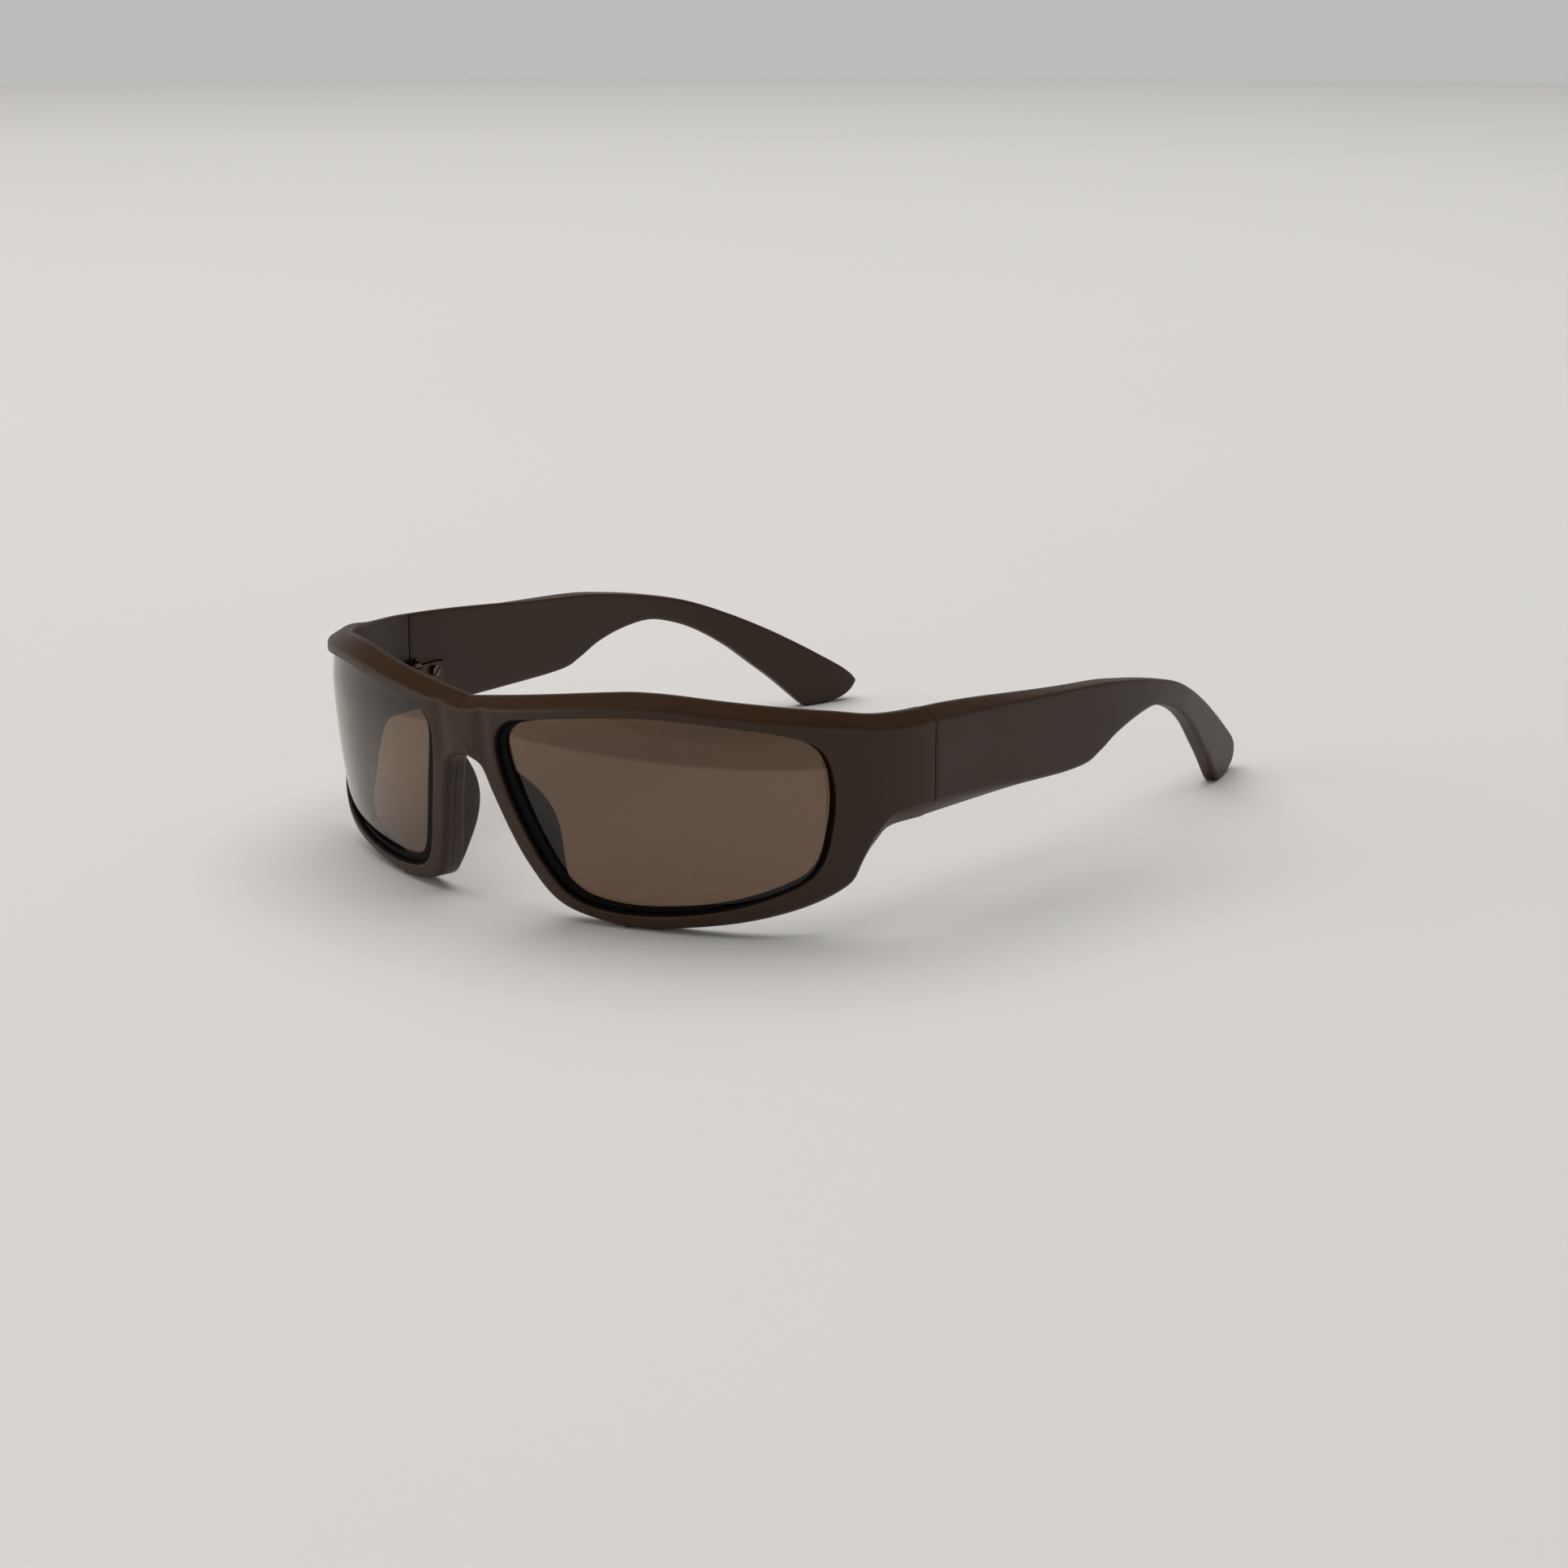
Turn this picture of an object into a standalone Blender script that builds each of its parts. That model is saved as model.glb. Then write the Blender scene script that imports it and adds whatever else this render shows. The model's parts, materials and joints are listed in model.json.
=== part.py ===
"""Wraparound mountain glasses with folding temples: moulded front, two tinted lenses in rubber
gaskets, nose pads, two temples on barrel hinges, and the wire that stiffens each temple.

The front and the temples are drawn flat and then wrapped, as the mould's drawing would be. In a flat
drawing X runs along the wall, Y goes in from its outer face and Z is height. The wrapped part looks
along -Y and its temples run back along +Y. "left" is the wearer's left, at +X.
"""

import math

import bmesh
import bpy
import numpy as np
from mathutils import Matrix, Vector

MM = 0.001

# Overall sizes
HALF_WIDTH = 66 * MM  # centre plane to a hinge wall's outer face
FRONT_DEPTH = 50.4 * MM  # foremost point of the brow to the hinge axes
TEMPLE_LENGTH = 127.4 * MM  # hinge axis to the end of a temple tip

# The front's upright curve: it leans back below the brow
LEAN_FROM = 38 * MM
LEAN_SLOPE = 0.068
LEAN_RADIUS = 104 * MM

# Lens opening, seen on the unwrapped front
LENS_FROM = 8.0 * MM  # centre plane to the opening's nasal edge
LENS_WIDTH = 61.6 * MM
LENS_HEIGHT = 36.2 * MM
LENS_SHAPE = (  # shares of the opening's width and height, from the nasal top corner round
    (0.005, 0.80), (0.040, 0.905), (0.12, 0.945), (0.31, 0.985), (0.49, 1.0), (0.70, 0.967),
    (0.885, 0.91), (0.972, 0.82), (1.0, 0.64), (0.985, 0.44), (0.945, 0.275), (0.86, 0.175),
    (0.66, 0.065), (0.44, 0.004), (0.27, 0.005), (0.165, 0.07), (0.10, 0.24), (0.032, 0.56),
)

# Widths of the front's wall round the opening
RIM_TOP = 2.0 * MM
RIM_BOTTOM = 3.5 * MM
RIM_NASAL = 4.6 * MM
RIM_CORNER = 4.2 * MM
RIM_OUTER = 6.3 * MM  # at the lower outer corner
BRIDGE_TOP = 37.8 * MM
BRIDGE_UNDER = 29.4 * MM
FRONT_THICKNESS = 4.7 * MM
REST_LENGTH = 5.0 * MM  # flat foot under each rim

# The wall at the hinge, shared by the front's end piece and the temple
WALL_THICKNESS = 4.4 * MM
WALL_TOP = 36.2 * MM  # of the outer face
WALL_BOTTOM = 18.6 * MM
TOP_RISE = 1.9 * MM  # the top face climbs this much towards the head
BOTTOM_RISE = 2.0 * MM  # and the outer face ends this much above the underside
SLOPE_REACH = 4.5 * MM  # height over which a slope dies out
SLOPE_DEPTH = 3.0 * MM  # how far in from the outer face a slope goes
SEAM_GAP = 0.3 * MM

# Temple
WIDE_END = 45 * MM  # where the deep front stretch ends
NECK_AT = 73 * MM
NECK_TOP = 30.2 * MM
NECK_HEIGHT = 5.2 * MM
# Edge points past the wide stretch: lengths in mm from the neck (or from WIDE_END for the arch's start),
# the tip's as drawn for a reach of 56.6 mm, and heights in mm from the neck's top or its underside.
TIP_REACH = 56.6
NECK_TOP_SHAPE = ((-23, 3.5), (-11, 2.0), (0, 0))
TIP_TOP_SHAPE = ((11, -2.6), (21, -6.2), (31.5, -10.9), (41, -15.8), (53.4, -22.4), (55.6, -23.9))
ARCH_SHAPE = ((6, -4.7), (12, -2.3), (20, -0.5))
TIP_UNDER_SHAPE = (
    (0, 0), (7.8, -1.8), (14.6, -4.5), (21.9, -8.7), (28.4, -13.5), (34.5, -18.1), (39.6, -22.4),
)
TIP_END = 5.0 * MM  # height of the tip's rearmost point
REST_TIP = 3.6 * MM  # flat foot under each tip
TIP_THICKNESS = 3.2 * MM
TEMPLE_BOW = 0.8 * MM
CURL_FROM = 50 * MM
CURL_TO = 95 * MM
CURL_SLOPE = 0.30

# What sits in the opening, measured in from the front's outer face
LIP = 0.9 * MM
GASKET_THICKNESS = 0.6 * MM
LENS_THICKNESS = 1.7 * MM
LENS_BULGE = 1.0 * MM  # the middle of a lens stands this much further out than its edge
FACE_GAP = 0.22 * MM
GROOVE_DEPTH = 1.3 * MM
EDGE_GAP = 0.3 * MM
GASKET_SHOWS = 0.6 * MM  # inside the opening's edge

# Nose pads
PAD_FROM = 2.2 * MM  # front edge, in from the rim's outer face
PAD_THICKNESS = 1.5 * MM
PAD_DEPTH = 8.6 * MM  # front edge to back edge where the pad is deepest
PAD_END_DEPTH = 3.2 * MM  # and at its two ends
PAD_LOW = 3.2 * MM
PAD_HEIGHT = 24.4 * MM
PAD_PEAK = 1.3  # above 1, the deepest place lies above the middle
PAD_FLARE = 0.33  # sideways towards the lens for each step back
PAD_GAP = 0.3 * MM

# Barrel hinge
AXIS_INSET = 1.1 * MM  # hinge axis to the wall's inner face
HINGE_HEIGHT = 23.8 * MM  # of the middle of the barrel
KNUCKLE_RADIUS = 1.7 * MM
KNUCKLE_LENGTH = 2.3 * MM
KNUCKLE_GAP = 0.3 * MM
PIN_RADIUS = 0.7 * MM
PIN_GAP = 0.3 * MM
PIN_HEAD_RADIUS = 1.5 * MM
PIN_HEAD_HEIGHT = 0.8 * MM
LEAF_THICKNESS = 1.0 * MM
LEAF_LENGTH = 9.0 * MM  # axis to the far end of a leaf
LEAF_BACK = 0.15 * MM  # the leaf's buried face, inside the barrel's own reach
LEAF_GAP = 0.3 * MM
BARREL_GAP = 0.4 * MM
LEAF_SCREW_AT = 6.2 * MM
LEAF_SCREW_SPREAD = 2.1 * MM
LEAF_SCREW_RADIUS = 0.6 * MM
LEAF_SCREW_HEAD = 1.1 * MM
LEAF_SCREW_HEAD_HEIGHT = 0.5 * MM
LEAF_SCREW_LENGTH = 3.2 * MM
SCREW_GAP = 0.3 * MM
SLOT_SHARE = 0.16  # half a slot's width, of its head's radius

# Wire core of a temple
WIRE_RADIUS = 0.7 * MM
WIRE_DEPTH = 2.0 * MM  # in from the temple's outer face
WIRE_FROM = 0.8 * MM  # behind the seam
WIRE_STOPS = 14 * MM  # short of the temple's end
WIRE_GAP = 0.3 * MM

SLICE = 4.0 * MM  # facet spacing along a wrapped wall
SLICE_UP = 7.0 * MM
ASIDE = 0.37  # share of a slice that the first one is moved by
FLAT_ANGLE = math.radians(0.5)  # faces closer than this are one
CURVE_STEPS = 4  # straight pieces between two outline points
ROUND_STEPS = 20

# The origin is under the middle of the overall box
SHIFT_BACK = (FRONT_DEPTH - TEMPLE_LENGTH) / 2

AXIS_X = HALF_WIDTH - WALL_THICKNESS - AXIS_INSET
AXIS_Y = SHIFT_BACK
BARREL_HEIGHT = 3 * KNUCKLE_LENGTH + 2 * KNUCKLE_GAP
WALL_START = LENS_FROM + LENS_WIDTH + RIM_CORNER
LENS_LOW = RIM_BOTTOM
GASKET_FROM = LIP + FACE_GAP
LENS_FRONT = GASKET_FROM + GASKET_THICKNESS + FACE_GAP
GROOVE_TO = LENS_FRONT + LENS_THICKNESS + FACE_GAP


def arc_table():
    """Angles round the front's plan ellipse, and the length of wall up to each."""
    angles = np.linspace(0, math.pi / 2, 2001)
    speed = np.hypot(HALF_WIDTH * np.cos(angles), FRONT_DEPTH * np.sin(angles))
    steps = (speed[1:] + speed[:-1]) / 2 * np.diff(angles)
    return angles, np.concatenate([[0], np.cumsum(steps)])


ANGLES, ARCS = arc_table()
WALL_END = float(ARCS[-1]) - SEAM_GAP / 2  # along the front from its centre to the seam


def smooth_step(value):
    value = min(max(value, 0.0), 1.0)
    return value * value * (3 - 2 * value)


def smooth_line(points, closed):
    """A Catmull-Rom curve through 2D points, as short straight pieces."""
    count = len(points)
    line = []
    for i in range(count if closed else count - 1):
        if closed:
            a, b, c, d = (Vector(points[(i + k) % count]) for k in (-1, 0, 1, 2))
        else:
            a, b, c, d = (Vector(points[min(max(i + k, 0), count - 1)]) for k in (-1, 0, 1, 2))
        for step in range(CURVE_STEPS):
            f = step / CURVE_STEPS
            line.append((
                b * 2 + (c - a) * f + (a * 2 - b * 5 + c * 4 - d) * f * f
                + (b * 3 - a - c * 3 + d) * f ** 3
            ) / 2)
    if not closed:
        line.append(Vector(points[-1]))
    return line


def offset_loop(loop, distance):
    """The closed outline moved outwards by the distance. The outline runs clockwise."""
    moved = []
    for i, point in enumerate(loop):
        along = (loop[(i + 1) % len(loop)] - loop[i - 1]).normalized()
        moved.append(point + Vector((-along.y, along.x)) * distance)
    return moved


def lens_points():
    return [(LENS_FROM + a * LENS_WIDTH, LENS_LOW + b * LENS_HEIGHT) for a, b in LENS_SHAPE]


def lens_outline():
    return smooth_line(lens_points(), True)


def rim_point(index, width):
    """The point at this width outside the opening's own outline point."""
    return offset_loop([Vector(p) for p in lens_points()], width)[index]


def lower_edge():
    """The front's lower edge, from the middle of the bridge out to the hinge wall."""
    arch = (LENS_FROM - RIM_NASAL, BRIDGE_UNDER - 1.4 * MM)
    foot = (rim_point(13, RIM_BOTTOM).x + rim_point(14, RIM_BOTTOM).x) / 2
    nasal = [(0, BRIDGE_UNDER), arch, rim_point(17, RIM_NASAL), rim_point(16, RIM_NASAL),
             rim_point(15, RIM_CORNER)]
    under = [(foot + REST_LENGTH / 2, 0), rim_point(12, RIM_BOTTOM), rim_point(11, RIM_CORNER)]
    corner = rim_point(10, RIM_OUTER)
    sweep = corner + Vector((6.3 * MM, 6.0 * MM))
    wall = [corner, corner + Vector((3.3 * MM, 3.2 * MM)), sweep,
            (sweep.x + 4.6 * MM, WALL_BOTTOM - 0.3 * MM), (WALL_END, WALL_BOTTOM)]
    return smooth_line(nasal + [(foot - REST_LENGTH / 2, 0)], False) + smooth_line(under + wall, False)


def upper_edge():
    """The foremost line of the brow, from the middle of the bridge out to the hinge wall."""
    crest = [rim_point(i, RIM_TOP) for i in (3, 4, 5)]
    shoulder = (LENS_FROM + LENS_WIDTH, WALL_TOP + 2.1 * MM)
    wall = [shoulder, (WALL_END - 12 * MM, WALL_TOP + 0.6 * MM), (WALL_END, WALL_TOP)]
    return smooth_line([(0, BRIDGE_TOP)] + crest + wall, False)


def front_outline():
    half = upper_edge() + lower_edge()[::-1]
    mirrored = [Vector((-p.x, p.y)) for p in half[::-1]]
    return half[1:-1] + [half[-1]] + mirrored[1:-1] + [half[0]]


def temple_edges():
    """The upper and the lower edge of a temple, from the seam back."""
    start = SEAM_GAP / 2
    end = TEMPLE_LENGTH
    drop = (end - NECK_AT) / TIP_REACH
    under = NECK_TOP - NECK_HEIGHT
    top = [(start, WALL_TOP), (WIDE_END * 0.55, WALL_TOP - 1.1 * MM)]
    top += [(NECK_AT + a * MM, NECK_TOP + b * MM) for a, b in NECK_TOP_SHAPE]
    top += [(NECK_AT + a * drop, NECK_TOP + b * MM) for a, b in TIP_TOP_SHAPE]
    bottom = [(start, WALL_BOTTOM), (WIDE_END * 0.6, WALL_BOTTOM - 0.1 * MM)]
    bottom += [(WIDE_END, WALL_BOTTOM + 0.2 * MM)]
    bottom += [(WIDE_END + a * MM, under + b * MM) for a, b in ARCH_SHAPE]
    bottom += [(NECK_AT + a * drop, under + b * MM) for a, b in TIP_UNDER_SHAPE]
    return top, bottom


def temple_outline():
    top, bottom = temple_edges()
    end = TEMPLE_LENGTH
    foot = bottom[-1][0] + 3.0 * MM
    tip = [(end, TIP_END), (end - 0.3 * MM, TIP_END - 1.5 * MM), (end - 1.9 * MM, TIP_END - 3.1 * MM),
           (foot + REST_TIP, 0), (foot, 0)]
    return smooth_line(top, False) + [Vector(p) for p in tip] + smooth_line(bottom, False)[::-1]


def climb(height, top, inwards, top_share, bottom_share):
    """The height after the top face, and the wall's lower outer edge, are given their slopes."""
    depth = min(inwards / SLOPE_DEPTH, 1.0)
    up = TOP_RISE * depth * smooth_step(1 + (height - top) / SLOPE_REACH)
    lift = BOTTOM_RISE * (1 - depth) * smooth_step(1 - (height - WALL_BOTTOM) / SLOPE_REACH)
    return height + up * top_share + lift * bottom_share


def wrap_front(flat):
    """A flat point of the front, put on its curved wall."""
    u, t, z = flat
    side = -1.0 if u < 0 else 1.0
    reach = abs(u)
    angle = float(np.interp(reach, ARCS, ANGLES))
    crest = float(np.interp(reach, CREST_ALONG, CREST_HEIGHT))
    on_wall = smooth_step((reach - WALL_START) / (WALL_END - WALL_START) * 2)
    z = climb(z, crest, t, 1, on_wall)
    narrowing = smooth_step((reach - WALL_START) / (WALL_END - WALL_START))
    t *= 1 + (WALL_THICKNESS / FRONT_THICKNESS - 1) * narrowing
    normal = Vector((FRONT_DEPTH * math.sin(angle), -HALF_WIDTH * math.cos(angle))).normalized()
    drop = LEAN_FROM - z
    lean = (LEAN_SLOPE * drop + drop * drop / (2 * LEAN_RADIUS)) * math.cos(angle)
    x = HALF_WIDTH * math.sin(angle) - normal.x * t
    y = lean - FRONT_DEPTH * math.cos(angle) - normal.y * t
    return Vector((side * x, y + SHIFT_BACK, z))


def wrap_lens(flat):
    """As wrap_front, with the lens's own extra bulge."""
    u, t, z = flat
    across = min(abs((abs(u) - LENS_FROM) / LENS_WIDTH * 2 - 1), 1)
    up = min(abs((z - LENS_LOW) / LENS_HEIGHT * 2 - 1), 1)
    return wrap_front((u, t - LENS_BULGE * ((1 - across ** 2) * (1 - up ** 2)) ** 2, z))


def temple_plan(y):
    """The outer face's distance from the centre plane, and its slope."""
    bow = TEMPLE_BOW * (1 - math.cos(math.pi * min(y / CURL_FROM, 1))) / 2
    curl = min(max(y - CURL_FROM, 0), CURL_TO - CURL_FROM)
    inwards = CURL_SLOPE * (curl * curl / (2 * (CURL_TO - CURL_FROM)) + max(y - CURL_TO, 0))
    return HALF_WIDTH + bow - inwards, -CURL_SLOPE * curl / (CURL_TO - CURL_FROM)


def wrap_temple(flat):
    """A flat point of the left temple, put in its place."""
    s, t, z = flat
    x, slope = temple_plan(s)
    fade = 1 - smooth_step(s / CURL_FROM)
    top = float(np.interp(s, TEMPLE_ALONG, TEMPLE_TOP))
    z = climb(z, top, t, fade, fade)
    t *= 1 + (TIP_THICKNESS / WALL_THICKNESS - 1) * smooth_step((s - CURL_FROM) / (CURL_TO - CURL_FROM))
    normal = Vector((1, -slope)).normalized()
    return Vector((x - normal.x * t, s - normal.y * t + SHIFT_BACK, z))


def collection(name):
    made = bpy.data.collections.new(name)
    bpy.context.scene.collection.children.link(made)
    return made


def clear_scene():
    for obj in list(bpy.data.objects):
        bpy.data.objects.remove(obj, do_unlink=True)


def material(name, colour, roughness, metallic=0.0, transmission=0.0):
    made = bpy.data.materials.new(name)
    made.use_nodes = True
    shader = made.node_tree.nodes["Principled BSDF"]
    shader.inputs["Base Color"].default_value = (*colour, 1)
    shader.inputs["Roughness"].default_value = roughness
    shader.inputs["Metallic"].default_value = metallic
    shader.inputs["Transmission Weight"].default_value = transmission
    return made


def add_object(name, mesh, group, finish=None):
    obj = bpy.data.objects.new(name, mesh)
    group.objects.link(obj)
    if finish:
        mesh.materials.clear()
        mesh.materials.append(finish)
    return obj


def evaluated_mesh(obj):
    """The object's mesh with its modifiers applied; the object itself is removed."""
    graph = bpy.context.evaluated_depsgraph_get()
    mesh = bpy.data.meshes.new_from_object(obj.evaluated_get(graph))
    mesh.transform(obj.matrix_world)
    bpy.data.objects.remove(obj, do_unlink=True)
    return mesh


def plate(name, loops, start, stop):
    """A flat plate inside the first loop and outside the others, from depth start to depth stop."""
    outline = bpy.data.curves.new(name, "CURVE")
    outline.dimensions = "2D"
    outline.fill_mode = "BOTH"
    outline.extrude = (stop - start) / 2
    for loop in loops:
        spline = outline.splines.new("POLY")
        spline.points.add(len(loop) - 1)
        for point, corner in zip(spline.points, loop):
            point.co = (corner.x, corner.y, 0, 1)
        spline.use_cyclic_u = True
    obj = add_object(name, outline, CUTTERS)
    bpy.context.view_layer.update()
    mesh = evaluated_mesh(obj)
    # The curve's plane becomes the XZ plane, and its extrusion the depth.
    mesh.transform(Matrix.Translation((0, (start + stop) / 2, 0)) @ Matrix.Rotation(math.pi / 2, 4, "X"))
    return tidied(mesh)


def tidied(mesh):
    shape = bmesh.new()
    shape.from_mesh(mesh)
    bmesh.ops.remove_doubles(shape, verts=shape.verts, dist=0.001 * MM)
    bmesh.ops.recalc_face_normals(shape, faces=shape.faces)
    bmesh.ops.dissolve_limit(shape, angle_limit=FLAT_ANGLE, verts=shape.verts, edges=shape.edges)
    shape.to_mesh(mesh)
    shape.free()
    return mesh


def cut_mesh(mesh, cutters):
    """The mesh with each cutter's mesh taken away."""
    obj = add_object("cut_blank", mesh, CUTTERS)
    for i, cutter in enumerate(cutters):
        cut(obj, add_object(f"cut_tool_{i}", cutter, CUTTERS))
    bpy.context.view_layer.update()
    tools = [m.object for m in obj.modifiers]
    result = evaluated_mesh(obj)
    for tool in tools:
        bpy.data.objects.remove(tool, do_unlink=True)
    return result


def cut(obj, cutter):
    cutter.hide_render = True
    cutter.display_type = "WIRE"
    modifier = obj.modifiers.new(cutter.name, "BOOLEAN")
    modifier.operation = "DIFFERENCE"
    modifier.solver = "EXACT"
    modifier.object = cutter


def join(obj, other):
    cut(obj, other)
    obj.modifiers[-1].operation = "UNION"


def wrapped(mesh, wrap, sloped=False):
    """Sliced into narrow facets, made triangles and wrapped. A sloped edge takes a slice of its own."""
    shape = bmesh.new()
    shape.from_mesh(tidied(mesh))
    xs = [v.co.x for v in shape.verts]
    zs = [v.co.z for v in shape.verts]
    # Each run of slices starts a little aside, so that none falls on the centre plane or a corner.
    across = range(math.floor(min(xs) / SLICE), math.ceil(max(xs) / SLICE))
    up = range(math.ceil(max(zs) / SLICE_UP))
    cuts = [((1, 0, 0), (i + ASIDE) * SLICE) for i in across]
    cuts += [((0, 0, 1), (i + ASIDE) * SLICE_UP) for i in up]
    if sloped:
        cuts.append(((0, 1, 0), SLOPE_DEPTH))
    for direction, place in cuts:
        everything = shape.verts[:] + shape.edges[:] + shape.faces[:]
        bmesh.ops.bisect_plane(shape, geom=everything, dist=0.002 * MM, plane_co=Vector(direction) * place,
                               plane_no=direction)
    bmesh.ops.triangulate(shape, faces=shape.faces)
    for vertex in shape.verts:
        vertex.co = wrap(vertex.co)
    shape.to_mesh(mesh)
    shape.free()
    return mesh


def mirrored(mesh):
    copy = mesh.copy()
    copy.transform(Matrix.Scale(-1, 4, (1, 0, 0)))
    copy.flip_normals()
    return copy


def pair(name, mesh, finish):
    """The left piece, and its mirror image on the right."""
    left = add_object(name + "_left", mesh, PARTS, finish)
    right = add_object(name + "_right", mirrored(mesh), PARTS, finish)
    return left, right


def lens_hole(grow, start, stop):
    return plate("lens_hole", [offset_loop(lens_outline(), grow)], start, stop)


def nose_pad_blank(name, gap):
    """A nose pad on the flat drawing, or with a gap the space that the rim leaves for it."""
    line = [p for p in lower_edge() if p.x < LENS_FROM + 0.25 * LENS_WIDTH]
    line = [p for p in line if PAD_LOW < p.y < PAD_LOW + PAD_HEIGHT]
    inner = []
    for i, point in enumerate(line):
        along = (line[min(i + 1, len(line) - 1)] - line[max(i - 1, 0)]).normalized()
        inner.append(point + Vector((-along.y, along.x)) * PAD_THICKNESS)
    # Down the nasal edge and back up inside it is anticlockwise, so the loop is turned round.
    loop = offset_loop((line + inner[::-1])[::-1], gap)
    mesh = plate(name, [loop], PAD_FROM - gap, PAD_FROM + PAD_DEPTH)
    for vertex in mesh.vertices:
        u, t, z = vertex.co
        share = min(max((z - PAD_LOW) / PAD_HEIGHT, 0), 1)
        depth = PAD_END_DEPTH + (PAD_DEPTH - PAD_END_DEPTH) * math.sin(math.pi * share ** PAD_PEAK)
        if t > PAD_FROM + PAD_DEPTH / 2:
            t = PAD_FROM + depth
        vertex.co = (u + PAD_FLARE * max(t - PAD_FROM, 0), t, z)
    return mesh


def wire_path():
    """The middle of the temple's side, from the seam towards the tip, on the flat drawing."""
    top, bottom = (np.array([tuple(p) for p in smooth_line(edge, False)]) for edge in temple_edges())
    start, stop = SEAM_GAP / 2 + WIRE_FROM, TEMPLE_LENGTH - WIRE_STOPS
    path = []
    for s in np.linspace(start, stop, 16):
        middle = (np.interp(s, top[:, 0], top[:, 1]) + np.interp(s, bottom[:, 0], bottom[:, 1])) / 2
        level = smooth_step((s - LEAF_LENGTH) / (WIDE_END - LEAF_LENGTH))
        path.append(Vector((s, WIRE_DEPTH, HINGE_HEIGHT + (middle - HINGE_HEIGHT) * level)))
    return path


def rod(name, path, radius):
    """A round rod along the path, as a mesh."""
    wire = bpy.data.curves.new(name, "CURVE")
    wire.dimensions = "3D"
    wire.bevel_depth = radius
    wire.bevel_resolution = 2
    wire.use_fill_caps = True
    spline = wire.splines.new("POLY")
    spline.points.add(len(path) - 1)
    for point, place in zip(spline.points, path):
        point.co = (*place, 1)
    obj = add_object(name, wire, CUTTERS)
    bpy.context.view_layer.update()
    return tidied(evaluated_mesh(obj))


def box(name, low, high):
    shape = bmesh.new()
    bmesh.ops.create_cube(shape, size=1)
    low, high = Vector(low), Vector(high)
    for vertex in shape.verts:
        vertex.co = [(a + b) / 2 + c * (b - a) for a, b, c in zip(low, high, vertex.co)]
    mesh = bpy.data.meshes.new(name)
    shape.to_mesh(mesh)
    shape.free()
    return mesh


def cylinder(name, radius, start, stop, segments=ROUND_STEPS):
    """A cylinder between two points."""
    start, stop = Vector(start), Vector(stop)
    shape = bmesh.new()
    bmesh.ops.create_cone(shape, cap_ends=True, segments=segments, radius1=radius, radius2=radius,
                          depth=(stop - start).length)
    turn = (stop - start).to_track_quat("Z", "Y").to_matrix().to_4x4()
    shape.transform(Matrix.Translation((start + stop) / 2) @ turn)
    mesh = bpy.data.meshes.new(name)
    shape.to_mesh(mesh)
    shape.free()
    return mesh


def at_axis(x, y, z):
    """A point given from the left hinge axis, at the barrel's middle height."""
    return Vector((AXIS_X + x, AXIS_Y + y, HINGE_HEIGHT + z))


def hinge_leaf(name, way, knuckles):
    """A leaf that reaches forwards (way -1) or back (way 1), with its knuckles on the axis."""
    half = BARREL_HEIGHT / 2
    outer = KNUCKLE_RADIUS - LEAF_BACK
    clear = KNUCKLE_RADIUS + BARREL_GAP
    near, far = sorted((way * clear, way * LEAF_LENGTH))
    leaf = add_object(name, box(name, at_axis(outer - LEAF_THICKNESS, near, -half),
                                at_axis(outer, far, half)), PARTS, STEEL)
    low, high = sorted((0, way * (clear + LEAF_THICKNESS)))
    for i in knuckles:
        bottom = -half + i * (KNUCKLE_LENGTH + KNUCKLE_GAP)
        top = bottom + KNUCKLE_LENGTH
        arm = box("arm", at_axis(outer - LEAF_THICKNESS, low, bottom), at_axis(outer, high, top))
        join(leaf, add_object("arm", arm, CUTTERS))
        barrel = cylinder("barrel", KNUCKLE_RADIUS, at_axis(0, 0, bottom), at_axis(0, 0, top))
        join(leaf, add_object("barrel", barrel, CUTTERS))
    bore = cylinder("bore", PIN_RADIUS + PIN_GAP, at_axis(0, 0, -2 * half), at_axis(0, 0, 2 * half))
    cut(leaf, add_object("bore", bore, CUTTERS))
    for height in (-LEAF_SCREW_SPREAD, LEAF_SCREW_SPREAD):
        place = at_axis(0, way * LEAF_SCREW_AT, height)
        reach = Vector((2 * outer, 0, 0))
        hole = cylinder("hole", LEAF_SCREW_RADIUS + SCREW_GAP, place - reach, place + reach, 12)
        cut(leaf, add_object("hole", hole, CUTTERS))
    return finish_left(leaf)


def finish_left(obj):
    """The modifiers applied, and the mirror image of the piece made for the right."""
    name, finish = obj.name, obj.data.materials[0]
    bpy.context.view_layer.update()
    return pair(name, evaluated_mesh(obj), finish)


def screw(name, head, tip, radius, head_radius, head_height):
    """A screw from the top of its head to its tip, with a slot across the head."""
    head, tip = Vector(head), Vector(tip)
    way = (tip - head).normalized()
    aside = way.orthogonal().normalized()
    under = head + way * head_height
    obj = add_object(name, cylinder(name, radius, head + way * head_height / 2, tip, 12), PARTS, STEEL)
    join(obj, add_object("head", cylinder("head", head_radius, head, under), CUTTERS))
    slot_half = head_radius * SLOT_SHARE
    reach = head_radius * 2
    slot = box("slot", (-reach, -slot_half, -head_height), (reach, slot_half, head_height / 2))
    slot.transform(Matrix.Translation(head) @ Matrix((aside, way.cross(aside), way)).transposed().to_4x4())
    cut(obj, add_object("slot", slot, CUTTERS))
    return finish_left(obj)


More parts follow.
